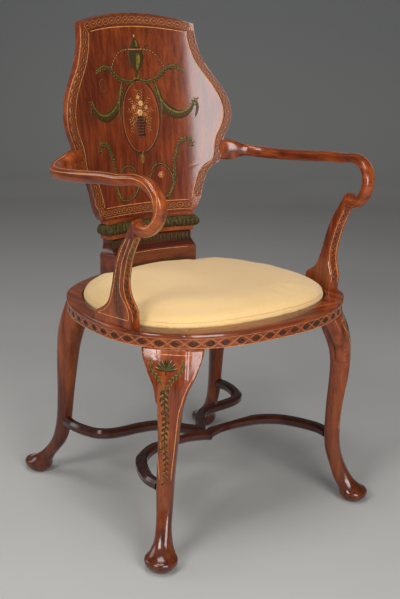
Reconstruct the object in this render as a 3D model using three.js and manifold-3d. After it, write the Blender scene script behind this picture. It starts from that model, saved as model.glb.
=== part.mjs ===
// Painted armchair with a shield-shaped back on a moulded shoe, shepherd's-crook arms,
// cabriole legs, a stretcher of two bows set back to back and an upholstered oval seat.
// Millimetres. +Z is up, the chair faces -Y, and +X is the sitter's left.
import * as THREE from 'three';
import { mergeVertices } from 'three/addons/utils/BufferGeometryUtils.js';
import Module from 'manifold-3d';

const wasm = await Module();
wasm.setup();

// Fit between touching pieces, and how far a cutter runs past what it cuts
const gap = 0.3;
const overrun = 4;

// Seat frame
const seatHeight = 440;
const seatHalfWidth = 276;
const seatFront = 219;
const seatRear = 275;
const seatSquareness = 2.38;
const railDepth = 27;
const railWidth = 72;
const railWidthBehind = 97;
const beadHeight = 8;
const beadOverhang = 2;
const rimRound = 3.5;
const railArris = 0.8;
const recessMarginSide = 31;
const recessMarginFront = 42;
const recessMarginBehind = 24;
const recessDepth = 10;
const lapLength = 50;

// Seat upholstery
const webWidth = 50;
const webThickness = 1.2;
const webRise = 0.95;
const webLift = 1.35;
const webTacking = 16;
const canvasThickness = 1;
const canvasInset = 4;
const padCrown = 31;
const padBulge = 1.6;
const padClearance = 0.9;

// Legs: where the tops stand under the seat frame, and how far out the feet reach
const frontKneeShares = [0.7025, -0.6496];
const rearKneeShares = [0.6866, 0.7314];
const frontSplay = 44;
const rearSplay = 19.5;
const kneeReach = 95;
const rearKneeReach = 135.7;
const kneeWidth = 62;
const rearKneeWidth = 51.5;
const legTenonRadius = 11;
const legTenonLength = 20;

// Knee brackets beside the front knees
const bracketHalfSpan = 56;
const bracketDrop = 80;
const bracketThickness = 27;
const kneeCurveRadius = 180;
const kneeTurnShare = 0.03;

// Stretcher
const stretcherHeightShare = 0.316;
const stretcherWidth = 24;
const stretcherThickness = 21;
const stretcherMeetY = 14;
const stretcherTenonRadius = 5;
const stretcherTenonLength = 12;
const stretcherDowelRadius = 4;
const stretcherDowelLength = 28;

// Back panel
const backRise = 395;
const backArch = 20;
const backHalfWidth = 199;
const backThickness = 18;
const backCurveRadius = 370;
const backLean = 32;
const backSweep = 22;
const backFootY = 238;

// Shoe mouldings under the back panel, from the top down
const shoeHalfWidth = 106;
const filletHeight = 8;
const torusHeight = 23;
const fasciaHeight = 11;
const cavettoHeight = 28;
const plinthHeight = 57;
const shoeBackDepth = 14;
const filletProjection = 8;
const torusProjection = 24;
const fasciaProjection = 13;
const neckProjection = 8;
const plinthProjection = 27;
const filletSpread = 5;
const torusSpread = 16;
const fasciaSpread = 5;
const neckSpread = -2;
const plinthSpread = 7;
const gadroonPitch = 10;
const gadroonDepth = 2.2;
const tongueWidth = 38;
const tongueThickness = 9;
const tongueOffset = 52;
const tongueSeat = 13;

// Arms and their supports
const armRootX = 176;
const armRise = 259;
const armRootHeight = 45;
const armRootDepth = 32;
const armSag = 7;
const armDowelRadius = 4.5;
const armDowelLength = 44;
const supportWidth = 23;
const supportMargin = 20;
const supportSetback = -40;
const supportToeIn = 12;
const supportLean = 4.5;
const supportFootLength = 95;
const supportFootFront = 57;
const supportRise = 190;
const supportArris = 1;
const screwRadius = 2.5;
const screwHeadRadius = 5;
const screwHeadDepth = 4;
const screwLength = 40;

// Colours of the finished pieces
const mahogany = 0x8a3f22;
const greenPaint = 0x4a5330;
const creamCloth = 0xe3cfa0;
const linen = 0xb9a37c;
const hessian = 0x9c7d4f;
const steel = 0x8d8a84;
const beech = 0xc79a62;

// Counts of facets
const outlineSteps = 72;
const legSteps = 20;
const legSides = 12;
const armSteps = 36;
const armSides = 12;
const stretcherSteps = 30;
const stretcherSides = 8;
const roundSides = 16;

// Derived levels and places
const railBottom = seatHeight - railDepth;
const recessFloor = seatHeight - recessDepth;
const lapLevel = railBottom + railDepth / 2;
const legTop = railBottom - gap;
const canvasBottom = recessFloor + webLift + webRise + webThickness / 2 + gap;
const padBottom = canvasBottom + canvasThickness + gap;
const plinthTop = seatHeight + plinthHeight;
const cavettoTop = plinthTop + cavettoHeight;
const fasciaTop = cavettoTop + fasciaHeight;
const torusTop = fasciaTop + torusHeight;
const backBottom = torusTop + filletHeight;
const stretcherHeight = seatHeight * stretcherHeightShare;
const openingHalfWidth = seatHalfWidth - railWidth;
const openingFront = seatFront - railWidth;
const openingRear = seatRear - railWidthBehind;
const recessHalfWidth = seatHalfWidth - recessMarginSide;
const recessFront = seatFront - recessMarginFront;
const recessRear = seatRear - recessMarginBehind;
const supportX = seatHalfWidth - supportMargin;

const chair = new THREE.Group();

function finish(color, roughness, metalness = 0) {
  return new THREE.MeshStandardMaterial({ color, roughness, metalness });
}

function addPiece(name, solid, color, roughness = 0.35, metalness = 0) {
  const mesh = new THREE.Mesh(geometryOf(solid), finish(color, roughness, metalness));
  mesh.name = name;
  chair.add(mesh);
}

function solidOf(geometry) {
  const plain = geometry.index ? geometry.toNonIndexed() : geometry.clone();
  plain.deleteAttribute('normal');
  plain.deleteAttribute('uv');
  const merged = mergeVertices(plain);
  return new wasm.Manifold(new wasm.Mesh({
    numProp: 3,
    vertProperties: Float32Array.from(merged.attributes.position.array),
    triVerts: Uint32Array.from(merged.index.array),
  }));
}

function geometryOf(solid) {
  const mesh = solid.getMesh();
  const geometry = new THREE.BufferGeometry();
  geometry.setAttribute('position', new THREE.Float32BufferAttribute(mesh.vertProperties, 3));
  geometry.setIndex(Array.from(mesh.triVerts));
  geometry.computeVertexNormals();
  return geometry;
}

// Mirrors a solid about the chair's middle plane and keeps its faces pointing out
function mirrored(solid) {
  return solid.mirror([1, 0, 0]);
}

// Joins rings of equal count into one closed body, with a fan over each end
function loft(rings) {
  const sides = rings[0].length;
  const points = rings.flat();
  const faces = [];
  for (let i = 0; i < rings.length - 1; i += 1) {
    for (let j = 0; j < sides; j += 1) {
      const next = (j + 1) % sides;
      const a = i * sides + j;
      const b = i * sides + next;
      faces.push([a, b, b + sides], [a, b + sides, a + sides]);
    }
  }
  for (const [ring, turn] of [[0, 1], [rings.length - 1, 0]]) {
    const middle = points.length;
    const centre = new THREE.Vector3();
    rings[ring].forEach((point) => centre.addScaledVector(point, 1 / sides));
    points.push(centre);
    for (let j = 0; j < sides; j += 1) {
      const a = ring * sides + j;
      const b = ring * sides + (j + 1) % sides;
      faces.push(turn ? [b, a, middle] : [a, b, middle]);
    }
  }
  return bodyFrom(points, faces);
}

function bodyFrom(points, faces) {
  let volume = 0;
  for (const [a, b, c] of faces) {
    volume += points[a].dot(new THREE.Vector3().crossVectors(points[b], points[c]));
  }
  const index = faces.flatMap(([a, b, c]) => (volume < 0 ? [a, c, b] : [a, b, c]));
  const geometry = new THREE.BufferGeometry();
  const flat = points.flatMap((point) => [point.x, point.y, point.z]);
  geometry.setAttribute('position', new THREE.Float32BufferAttribute(flat, 3));
  geometry.setIndex(index);
  return solidOf(geometry);
}

function box(sizeX, sizeY, sizeZ, x, y, z) {
  const geometry = new THREE.BoxGeometry(sizeX, sizeY, sizeZ);
  geometry.translate(x, y, z);
  return solidOf(geometry);
}

// A straight round bar from one point to another
function rod(radius, from, to, sides = roundSides) {
  const length = from.distanceTo(to);
  const geometry = new THREE.CylinderGeometry(radius, radius, length, sides);
  const middle = from.clone().add(to).multiplyScalar(1 / 2);
  const along = to.clone().sub(from).normalize();
  const turn = new THREE.Quaternion().setFromUnitVectors(new THREE.Vector3(0, 1, 0), along);
  geometry.applyQuaternion(turn);
  geometry.translate(middle.x, middle.y, middle.z);
  return solidOf(geometry);
}

// A slab of the given plan outline between two heights
function slab(outline, low, high) {
  const shape = new THREE.Shape(outline.map((point) => new THREE.Vector2(point.x, point.y)));
  const geometry = new THREE.ExtrudeGeometry(shape, { depth: high - low, bevelEnabled: false });
  geometry.translate(0, 0, low);
  return solidOf(geometry);
}

// Evenly spaced points of an oval with squared shoulders, deeper behind than in front
function oval(halfWidth, front, rear, steps = outlineSteps) {
  const fine = [];
  const fineSteps = steps * 12;
  const power = 2 / seatSquareness;
  for (let i = 0; i <= fineSteps; i += 1) {
    const angle = (i / fineSteps) * 2 * Math.PI;
    const across = Math.cos(angle);
    const along = Math.sin(angle);
    fine.push(new THREE.Vector3(
      halfWidth * Math.sign(across) * Math.abs(across) ** power,
      (along < 0 ? front : rear) * Math.sign(along) * Math.abs(along) ** power,
      0,
    ));
  }
  const lengths = [0];
  for (let i = 1; i < fine.length; i += 1) {
    lengths.push(lengths[i - 1] + fine[i].distanceTo(fine[i - 1]));
  }
  const total = lengths[lengths.length - 1];
  const even = [];
  let at = 0;
  for (let i = 0; i < steps; i += 1) {
    const goal = (i / steps) * total;
    while (lengths[at + 1] < goal) {
      at += 1;
    }
    const share = (goal - lengths[at]) / (lengths[at + 1] - lengths[at]);
    even.push(fine[at].clone().lerp(fine[at + 1], share));
  }
  return even;
}

// Moves a closed plan outline inwards by a distance
function inset(outline, distance) {
  return outline.map((point, i) => {
    const before = outline[(i + outline.length - 1) % outline.length];
    const after = outline[(i + 1) % outline.length];
    const along = after.clone().sub(before).normalize();
    return new THREE.Vector3(point.x - along.y * distance, point.y + along.x * distance, point.z);
  });
}

function atHeight(outline, z) {
  return outline.map((point) => new THREE.Vector3(point.x, point.y, z));
}

// Reads a smooth curve through hand-chosen stations, by the value in their first column
function between(stations, at) {
  const last = stations.length - 1;
  let i = 0;
  while (i < last - 1 && at > stations[i + 1][0]) {
    i += 1;
  }
  const before = stations[Math.max(i - 1, 0)];
  const start = stations[i];
  const end = stations[i + 1];
  const after = stations[Math.min(i + 2, last)];
  const run = end[0] - start[0];
  const t = Math.min(Math.max((at - start[0]) / run, 0), 1);
  return start.slice(1).map((value, k) => {
    const column = k + 1;
    const slopeIn = ((end[column] - before[column]) / (end[0] - before[0])) * run;
    const slopeOut = ((after[column] - value) / (after[0] - start[0])) * run;
    const rise = end[column] - value;
    const cubic = slopeIn + slopeOut - 2 * rise;
    const square = 3 * rise - 2 * slopeIn - slopeOut;
    return value + t * (slopeIn + t * (square + t * cubic));
  });
}

// A rounded section of given width and depth; a higher power gives squarer corners
function roundedSection(halfWidth, halfDepth, power, sides) {
  const corners = [];
  for (let j = 0; j < sides; j += 1) {
    const angle = ((j + 1 / 2) / sides) * 2 * Math.PI;
    const x = Math.cos(angle);
    const y = Math.sin(angle);
    corners.push([
      halfWidth * Math.sign(x) * Math.abs(x) ** (2 / power),
      halfDepth * Math.sign(y) * Math.abs(y) ** (2 / power),
    ]);
  }
  return corners;
}

// Rings along a path; each section is laid across the path and stays upright with it
function ringsAlong(points, sideways, sectionAt) {
  const side = sideways.clone();
  return points.map((point, i) => {
    const before = points[Math.max(i - 1, 0)];
    const after = points[Math.min(i + 1, points.length - 1)];
    const along = after.clone().sub(before).normalize();
    side.addScaledVector(along, -side.dot(along)).normalize();
    const up = new THREE.Vector3().crossVectors(side, along);
    return sectionAt(i / (points.length - 1)).map(([across, rise]) => (
      point.clone().addScaledVector(side, across).addScaledVector(up, rise)
    ));
  });
}

// Seat frame: four rails lapped at the legs
const seatOutline = oval(seatHalfWidth, seatFront, seatRear);
const openingOutline = oval(openingHalfWidth, openingFront, openingRear);
const recessOutline = oval(recessHalfWidth, recessFront, recessRear);

function legDirection(splay) {
  const angle = THREE.MathUtils.degToRad(splay);
  return new THREE.Vector3(Math.sin(angle), Math.cos(angle), 0);
}

const frontOut = legDirection(frontSplay).multiply(new THREE.Vector3(1, -1, 1));
const rearOut = legDirection(rearSplay);

// The back panel's front face: its distance behind the seat's middle
function backFaceY(x, z) {
  const share = (z - backBottom) / backRise;
  const sag = backCurveRadius - Math.sqrt(backCurveRadius ** 2 - x ** 2);
  return backFootY + backLean * share + backSweep * share ** 2 - sag;
}

// Plan of a shoe moulding, by how far it stands out in front and at its ends
function shoePlan(projection, spread, steps = 14, wave = () => 0) {
  const points = [];
  const centreY = backFootY - backCurveRadius;
  const reach = Math.asin((shoeHalfWidth + spread) / backCurveRadius);
  const near = backCurveRadius - projection;
  const far = backCurveRadius + shoeBackDepth;
  for (let i = 0; i <= steps; i += 1) {
    const angle = reach * (1 - (2 * i) / steps);
    points.push(new THREE.Vector3(far * Math.sin(angle), centreY + far * Math.cos(angle), 0));
  }
  for (let i = 0; i <= steps; i += 1) {
    const angle = reach * ((2 * i) / steps - 1);
    const radius = near + wave(i);
    points.push(new THREE.Vector3(radius * Math.sin(angle), centreY + radius * Math.cos(angle), 0));
  }
  return points;
}

// The plane of an arm support and its crook: x runs back along the foot, y up the support
const supportFrame = new THREE.Matrix4();
{
  const toe = THREE.MathUtils.degToRad(supportToeIn);
  const lean = THREE.MathUtils.degToRad(supportLean);
  const back = new THREE.Vector3(Math.sin(toe), Math.cos(toe), 0);
  const out = new THREE.Vector3(Math.cos(toe), -Math.sin(toe), 0);
  const up = new THREE.Vector3(0, 0, Math.cos(lean)).addScaledVector(out, Math.sin(lean));
  supportFrame.makeBasis(back, up, new THREE.Vector3().crossVectors(back, up));
  supportFrame.setPosition(supportX, supportSetback, seatHeight);
}

function tongues(grow, low, high) {
  const middle = backFaceY(tongueOffset, backBottom) + backThickness / 2;
  const tongue = box(
    tongueWidth + 2 * grow, tongueThickness + 2 * grow, high - low,
    tongueOffset, middle, (low + high) / 2,
  );
  return tongue.add(mirrored(tongue));
}

// The upholstered field stops short of the back's plinth
function fieldCut(solid, clearance) {
  const low = railBottom - overrun;
  const high = seatHeight + padCrown + overrun;
  const plan = shoePlan(plinthProjection + clearance, plinthSpread + clearance);
  return solid.subtract(slab(plan, low, high));
}

function screwAt(x, y) {
  const head = railBottom + gap;
  const points = [
    new THREE.Vector2(0, 0),
    new THREE.Vector2(screwHeadRadius, 0),
    new THREE.Vector2(screwRadius, screwHeadDepth),
    new THREE.Vector2(screwRadius, screwLength - screwHeadDepth),
    new THREE.Vector2(0, screwLength),
  ];
  const geometry = new THREE.LatheGeometry(points, roundSides);
  geometry.rotateX(Math.PI / 2);
  geometry.translate(x, y, head);
  return solidOf(geometry);
}

function screwHole(x, y) {
  const low = new THREE.Vector3(x, y, railBottom - overrun);
  const rise = new THREE.Vector3(x, y, railBottom + screwLength + 2 * gap);
  const countersink = new THREE.CylinderGeometry(
    screwRadius + gap, screwHeadRadius + 2 * gap, screwHeadDepth + gap, roundSides,
  );
  countersink.rotateX(Math.PI / 2);
  countersink.translate(x, y, railBottom + (screwHeadDepth + gap) / 2);
  return rod(screwRadius + gap, low, rise).add(solidOf(countersink));
}

const screwShares = [0.2, 0.6];
const screwPlaces = screwShares.map((share) => (
  new THREE.Vector3(share * supportFootLength - supportFootFront, 0, 0).applyMatrix4(supportFrame)
));

function legAcross(out) {
  return new THREE.Vector3(-out.y, out.x, 0);
}

// How far the middle of the leg's section stands from its foot, at a share of its height
function legOffset({ out, reach, stations }, share) {
  const [outer, inner, , , aside = 0] = between(stations, share);
  const offset = out.clone().multiplyScalar((reach * (outer + inner)) / 2);
  return offset.addScaledVector(legAcross(out), reach * aside);
}

function legMiddle(leg, share) {
  return leg.foot.clone().add(legOffset(leg, share)).setZ(share * legTop);
}

// Leg stations: height, outer face, inner face and width, as shares of the leg's height, its knee
// reach and its knee width, then the squareness of the section and its sideways lean, a share too
const frontLegShares = [
  [0, 0.18, -0.18, 0.56, 2, 0],
  [0.016, 0.255, -0.255, 0.8, 2, 0],
  [0.034, 0.31, -0.305, 0.98, 2, 0],
  [0.051, 0.32, -0.315, 1.01, 2, 0],
  [0.061, 0.29, -0.325, 0.97, 2, 0],
  [0.07, 0.2, -0.34, 0.83, 2, 0],
  [0.094, 0.07, -0.4, 0.65, 2.2, 0],
  [0.126, -0.05, -0.465, 0.53, 2.4, 0],
  [0.16, -0.14, -0.516, 0.48, 2.7, 0.006],
  [0.206, -0.242, -0.58, 0.475, 3, 0.012],
  [0.271, -0.326, -0.668, 0.505, 3.4, 0.014],
  [0.354, -0.368, -0.71, 0.535, 3.8, 0.014],
  [0.436, -0.368, -0.71, 0.555, 4, -0.002],
  [0.52, -0.347, -0.705, 0.585, 4.2, -0.025],
  [0.605, -0.3, -0.684, 0.63, 4.6, -0.047],
  [0.688, -0.255, -0.674, 0.69, 5.2, -0.065],
  [0.77, -0.24, -0.674, 0.765, 6, -0.087],
  [0.855, -0.265, -0.747, 0.85, 8, -0.11],
  [0.94, -0.365, -0.905, 0.93, 8, -0.095],
  [1, -0.485, -0.97, 0.95, 8, -0.075],
];
const rearLegShares = [
  [0, 0.126, -0.126, 0.64, 2],
  [0.016, 0.185, -0.175, 0.92, 2],
  [0.034, 0.239, -0.207, 1.1, 2],
  [0.051, 0.249, -0.214, 1.14, 2],
  [0.061, 0.229, -0.222, 1.1, 2],
  [0.07, 0.145, -0.235, 0.98, 2],
  [0.094, 0.026, -0.281, 0.78, 2.1],
  [0.126, -0.099, -0.351, 0.65, 2.2],
  [0.174, -0.245, -0.482, 0.57, 2.3],
  [0.262, -0.374, -0.611, 0.57, 2.4],
  [0.339, -0.427, -0.664, 0.59, 2.4],
  [0.409, -0.45, -0.687, 0.6, 2.5],
  [0.528, -0.466, -0.731, 0.65, 2.6],
  [0.646, -0.479, -0.776, 0.78, 2.7],
  [0.763, -0.514, -0.829, 0.93, 2.8],
  [0.852, -0.55, -0.919, 1, 3],
  [0.94, -0.645, -0.98, 1, 3.2],
  [1, -0.724, -1.016, 0.97, 3.4],
];

// A leg whose top stands at a fixed share of the seat, so that only its foot moves with its reach
function legPlan(name, top, out, reach, width, stations) {
  const leg = { name, top, out, reach, width, stations };
  leg.foot = top.clone().sub(legOffset(leg, 1));
  return leg;
}

function legBody(leg, grow = 0) {
  const { out, reach, width, stations } = leg;
  const across = legAcross(out);
  const rings = [];
  for (let i = 0; i <= legSteps; i += 1) {
    const share = legRingShare(i / legSteps);
    const [outer, inner, breadth, power] = between(stations, share);
    const middle = legMiddle(leg, share);
    const section = roundedSection(
      (reach * (outer - inner)) / 2 + grow, (width * breadth) / 2 + grow, power, legSides,
    );
    rings.push(section.map(([x, y]) => (
      middle.clone().addScaledVector(out, x).addScaledVector(across, y)
    )));
  }
  return loft(rings);
}

// Rings stand closer together in the foot than along the shaft
function legRingShare(share) {
  const footRingShares = [0, 0.016, 0.034, 0.051, 0.061, 0.07, 0.094, 0.126];
  const footRings = footRingShares.length - 1;
  const at = share * legSteps;
  if (at <= footRings) {
    return footRingShares[Math.round(at)];
  }
  const top = footRingShares[footRings];
  return top + (1 - top) * ((at - footRings) / (legSteps - footRings));
}

const frontTop = new THREE.Vector3(
  seatHalfWidth * frontKneeShares[0], seatFront * frontKneeShares[1], 0,
);
const rearTop = new THREE.Vector3(
  seatHalfWidth * rearKneeShares[0], seatRear * rearKneeShares[1], 0,
);
const frontLeg = legPlan('leg_front', frontTop, frontOut, kneeReach, kneeWidth, frontLegShares);
const rearLeg = legPlan('leg_rear', rearTop, rearOut, rearKneeReach, rearKneeWidth, rearLegShares);

function legTenon(centre, grow) {
  const low = new THREE.Vector3(centre.x, centre.y, legTop - overrun);
  const high = new THREE.Vector3(centre.x, centre.y, legTop + gap + legTenonLength + grow);
  return rod(legTenonRadius + grow, low, high);
}

// A wedge of the seat frame between two angles round the seat's middle
function wedge(from, to, low, high) {
  const reach = 2 * (seatHalfWidth + seatRear);
  const middle = (from + to) / 2;
  const corners = [from, middle, to].map((angle) => (
    new THREE.Vector3(reach * Math.cos(angle), reach * Math.sin(angle), 0)
  ));
  return slab([new THREE.Vector3(0, 0, 0), ...corners], low, high);
}

function makeSeatFrame() {
  const levels = [
    [railBottom, beadOverhang + railArris],
    [railBottom + railArris, beadOverhang],
    [seatHeight - beadHeight, beadOverhang],
    [seatHeight - beadHeight + beadOverhang / 2, beadOverhang / 4],
    [seatHeight - beadHeight / 2, 0],
    [seatHeight - rimRound / 4, rimRound / 3],
    [seatHeight, rimRound],
  ];
  let frame = loft(levels.map(([z, step]) => atHeight(inset(seatOutline, step), z)));
  frame = frame.subtract(slab(openingOutline, railBottom - overrun, seatHeight + overrun));
  const recess = slab(recessOutline, recessFloor, seatHeight + overrun);
  frame = frame.subtract(fieldCut(recess, 0));
  frame = frame.subtract(tongues(gap, seatHeight - tongueSeat, seatHeight + overrun));
  for (const place of screwPlaces) {
    const hole = screwHole(place.x, place.y);
    frame = frame.subtract(hole).subtract(mirrored(hole));
  }
  for (const centre of [frontTop, rearTop]) {
    const hole = legTenon(centre, gap);
    frame = frame.subtract(hole).subtract(mirrored(hole));
  }
  const frontAngle = Math.atan2(frontTop.y, frontTop.x);
  const rearAngle = Math.atan2(rearTop.y, rearTop.x);
  const lap = lapLength / 2 / frontTop.length();
  const slip = gap / frontTop.length();
  const low = railBottom - overrun;
  const high = seatHeight + overrun;
  const spans = [
    ['seat_rail_front', -Math.PI - frontAngle, frontAngle, true],
    ['seat_rail_left', frontAngle, rearAngle, false],
    ['seat_rail_back', rearAngle, Math.PI - rearAngle, true],
    ['seat_rail_right', Math.PI - rearAngle, Math.PI - frontAngle, false],
  ];
  for (const [name, from, to, lower] of spans) {
    const core = wedge(from + lap, to - lap, low, high);
    const tongue = lower
      ? wedge(from - lap + slip, to + lap - slip, low, lapLevel - gap / 2)
      : wedge(from - lap + slip, to + lap - slip, lapLevel + gap / 2, high);
    addPiece(name, frame.intersect(core.add(tongue)), mahogany);
  }
}

function makeLegs() {
  for (const leg of [frontLeg, rearLeg]) {
    const body = legBody(leg).add(legTenon(leg.top, 0)).subtract(stretcherEnds(gap));
    addPiece(`${leg.name}_left`, body, mahogany);
    addPiece(`${leg.name}_right`, mirrored(body), mahogany);
  }
}

// Knee brackets: ears glued to both sides of each front knee and carved flush with its face.
// Half width and depth under the rail, as shares of the bracket's span and drop
const bracketEdgeShares = [
  [1, 0], [0.985, 0.12], [0.935, 0.26], [0.86, 0.4], [0.81, 0.43], [0.81, 0.49],
  [0.72, 0.64], [0.62, 0.78], [0.55, 0.92], [0.5, 1.06], [0.46, 1.2],
];

// A level ring of the knee's face: a shallow arc in front, turned a little, and a flat behind
function kneeRing(reach, drop, across) {
  const z = legTop - drop * bracketDrop;
  const [outer, , , , aside] = between(frontLegShares, z / legTop);
  const half = reach * bracketHalfSpan;
  const steps = 6;
  const face = (x) => kneeReach * outer + kneeTurnShare * x - x ** 2 / (2 * kneeCurveRadius);
  const places = [];
  for (let i = 0; i <= steps; i += 1) {
    const x = half * ((2 * i) / steps - 1);
    places.push([x, face(x)]);
  }
  places.push([half, face(half) - bracketThickness], [-half, face(-half) - bracketThickness]);
  return places.map(([x, out]) => (
    frontLeg.foot.clone().setZ(z).addScaledVector(frontOut, out)
      .addScaledVector(across, x + kneeReach * aside)
  ));
}

function makeBrackets() {
  const across = legAcross(frontOut);
  const knee = legBody(frontLeg, gap);
  const ahead = frontOut.clone().multiplyScalar(2 * overrun);
  const face = loft(bracketEdgeShares.map(([reach, drop]) => kneeRing(reach, drop, across)));
  const ears = face.subtract(knee).subtract(knee.translate(ahead.toArray()));
  const reach = 2 * seatHalfWidth;
  const half = new THREE.Vector3(frontTop.x, frontTop.y, legTop).addScaledVector(across, reach / 2);
  const turn = Math.atan2(across.y, across.x);
  const sideGeometry = new THREE.BoxGeometry(reach, reach, reach);
  sideGeometry.rotateZ(turn);
  sideGeometry.translate(half.x, half.y, half.z);
  const side = solidOf(sideGeometry);
  const blocks = { side: ears.intersect(side), front: ears.subtract(side) };
  for (const [name, block] of Object.entries(blocks)) {
    const bracket = largest(block);
    addPiece(`knee_bracket_${name}_left`, bracket, mahogany);
    addPiece(`knee_bracket_${name}_right`, mirrored(bracket), mahogany);
  }
}

// Keeps the main body when a cut leaves a sliver
function largest(solid) {
  const bodies = solid.decompose();
  return bodies.reduce((best, body) => (body.volume() > best.volume() ? body : best));
}

// Stretcher: a front and a rear bow, each pointed at the middle, where they meet.
// Shares of the way out to the leg and of the way along to it, from the meeting place
const frontBowShares = [
  [-0.06, 0.16], [0, 0.08], [0.095, 0.024], [0.19, -0.01], [0.343, -0.018], [0.524, 0.012],
  [0.68, 0.067], [0.848, 0.22], [0.957, 0.457], [1.02, 0.713], [1.014, 0.866], [1, 1],
];
const rearBowShares = [
  [-0.06, 0.01], [0, 0.06], [0.05, 0.112], [0.11, 0.18], [0.17, 0.265], [0.235, 0.339],
  [0.324, 0.392], [0.495, 0.426], [0.647, 0.435], [0.8, 0.461], [0.912, 0.53], [0.97, 0.63],
  [1.01, 0.774], [1.01, 0.896], [1, 1],
];

const frontShaft = legMiddle(frontLeg, stretcherHeight / legTop);
const rearShaft = legMiddle(rearLeg, stretcherHeight / legTop);

function bowPoints(shares, shaft) {
  return shares.map(([across, along]) => new THREE.Vector3(
    across * shaft.x, stretcherMeetY + along * (shaft.y - stretcherMeetY), stretcherHeight,
  ));
}

// From the leg's axis to where the bow's shoulder meets its face
function shaftRadius({ reach, stations }) {
  const [outer, inner] = between(stations, stretcherHeight / legTop);
  return (reach * (outer - inner)) / 2 + gap;
}

const bowPlaces = [
  [frontBowShares, frontShaft, shaftRadius(frontLeg), -1],
  [rearBowShares, rearShaft, shaftRadius(rearLeg), 1],
];

// One half of a bow on the +X side, from the middle plane to the leg, flat where the bows meet
function halfBow([shares, shaft, radius, side], grow) {
  const curve = new THREE.CatmullRomCurve3(bowPoints(shares, shaft), false, 'centripetal');
  const end = 1 - (radius - grow) / curve.getLength();
  const points = [];
  for (let i = 0; i <= stretcherSteps; i += 1) {
    points.push(curve.getPointAt((end * i) / stretcherSteps));
  }
  const sideways = new THREE.Vector3(0, 1, 0);
  const bow = loft(ringsAlong(points, sideways, () => roundedSection(
    stretcherWidth / 2 + grow, stretcherThickness / 2 + grow, 2.4, stretcherSides,
  )));
  const reach = 2 * seatHalfWidth;
  const middle = stretcherMeetY + (side * (reach + gap)) / 2;
  const half = bow.intersect(box(reach, reach, reach, reach / 2, middle, stretcherHeight));
  return half.add(bowTenon(curve, shaft, radius, grow));
}

function bowTenon(curve, shaft, radius, grow) {
  const along = curve.getTangentAt(1);
  const from = shaft.clone().addScaledVector(along, -radius - 2 * overrun);
  const to = shaft.clone().addScaledVector(along, stretcherTenonLength + grow - radius);
  return rod(stretcherTenonRadius + grow, from, to);
}

function stretcherDowel(grow) {
  const middle = stretcherMeetY;
  const half = stretcherDowelLength / 2 + grow;
  return rod(
    stretcherDowelRadius + grow,
    new THREE.Vector3(0, middle - half, stretcherHeight),
    new THREE.Vector3(0, middle + half, stretcherHeight),
  );
}

// What the stretcher takes out of the legs on the +X side
function stretcherEnds(grow) {
  return halfBow(bowPlaces[0], grow).add(halfBow(bowPlaces[1], grow));
}

function makeStretcher() {
  const names = ['stretcher_front', 'stretcher_rear'];
  bowPlaces.forEach((place, i) => {
    const half = halfBow(place, 0);
    const bow = half.add(mirrored(half)).subtract(stretcherDowel(gap));
    addPiece(names[i], largest(bow), mahogany);
  });
  addPiece('stretcher_dowel', stretcherDowel(0), beech);
}

// Back panel: half width at shares of its height, bulging at the shoulders
const backOutlineShares = [
  [0, 0.585], [0.038, 0.635], [0.073, 0.66], [0.122, 0.678], [0.18, 0.715], [0.223, 0.75],
  [0.252, 0.81], [0.273, 0.87], [0.33, 0.893], [0.39, 0.912], [0.43, 0.945], [0.481, 0.985],
  [0.534, 1], [0.59, 0.988], [0.653, 0.944], [0.711, 0.876], [0.767, 0.807], [0.828, 0.748],
  [0.878, 0.718], [0.942, 0.696], [1, 0.693],
];

function backPanelBody(grow) {
  const rows = 26;
  const columns = 12;
  const loops = [];
  for (let i = 0; i <= rows; i += 1) {
    const share = i / rows;
    const half = backHalfWidth * between(backOutlineShares, share)[0] + grow;
    const loop = [];
    for (const [face, step] of [[0, 1], [1, -1]]) {
      for (let j = 0; j <= columns; j += 1) {
        const across = step * ((2 * j) / columns - 1) * half;
        const arch = backArch * (1 - (across / half) ** 2) * share ** 6;
        const z = backBottom + backRise * share + arch + (share > 1 / 2 ? grow : -grow);
        const depth = face ? backThickness + grow : -grow;
        const lean = Math.asin(across / backCurveRadius);
        loop.push(new THREE.Vector3(
          across + depth * Math.sin(lean), backFaceY(across, z) + depth * Math.cos(lean), z,
        ));
      }
    }
    loops.push(loop);
  }
  return gridBody(loops, columns);
}

// Closes a stack of long flat loops, whose ends are zipped face to face
function gridBody(loops, columns) {
  const sides = loops[0].length;
  const points = loops.flat();
  const faces = [];
  for (let i = 0; i < loops.length - 1; i += 1) {
    for (let j = 0; j < sides; j += 1) {
      const next = (j + 1) % sides;
      const a = i * sides + j;
      const b = i * sides + next;
      faces.push([a, b, b + sides], [a, b + sides, a + sides]);
    }
  }
  for (const [row, turn] of [[0, true], [loops.length - 1, false]]) {
    for (let j = 0; j < columns; j += 1) {
      const a = row * sides + j;
      const b = a + 1;
      const c = row * sides + sides - 1 - j;
      const d = c - 1;
      faces.push(turn ? [b, a, c] : [a, b, d], turn ? [b, c, d] : [a, d, c]);
    }
  }
  return bodyFrom(points, faces);
}

function armDowelAxis() {
  const curve = armCurve();
  const start = curve.getPoint(0);
  const along = curve.getTangent(0);
  return [start, along];
}

function armBackDowel(grow) {
  const [start, along] = armDowelAxis();
  const edge = start.clone().addScaledVector(along, armDowelLength / 4);
  const from = edge.clone().addScaledVector(along, -armDowelLength / 2 - grow);
  const to = edge.clone().addScaledVector(along, armDowelLength / 2 + grow);
  return rod(armDowelRadius + grow, from, to);
}

// Mouldings of the shoe: rise up the piece, then how far it stands out in front and at the ends
const cavettoShares = [
  [0, 0.8], [0.12, 0.62], [0.28, 0.34], [0.46, 0.14], [0.66, 0.02], [0.84, 0], [1, 0.12],
];

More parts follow.
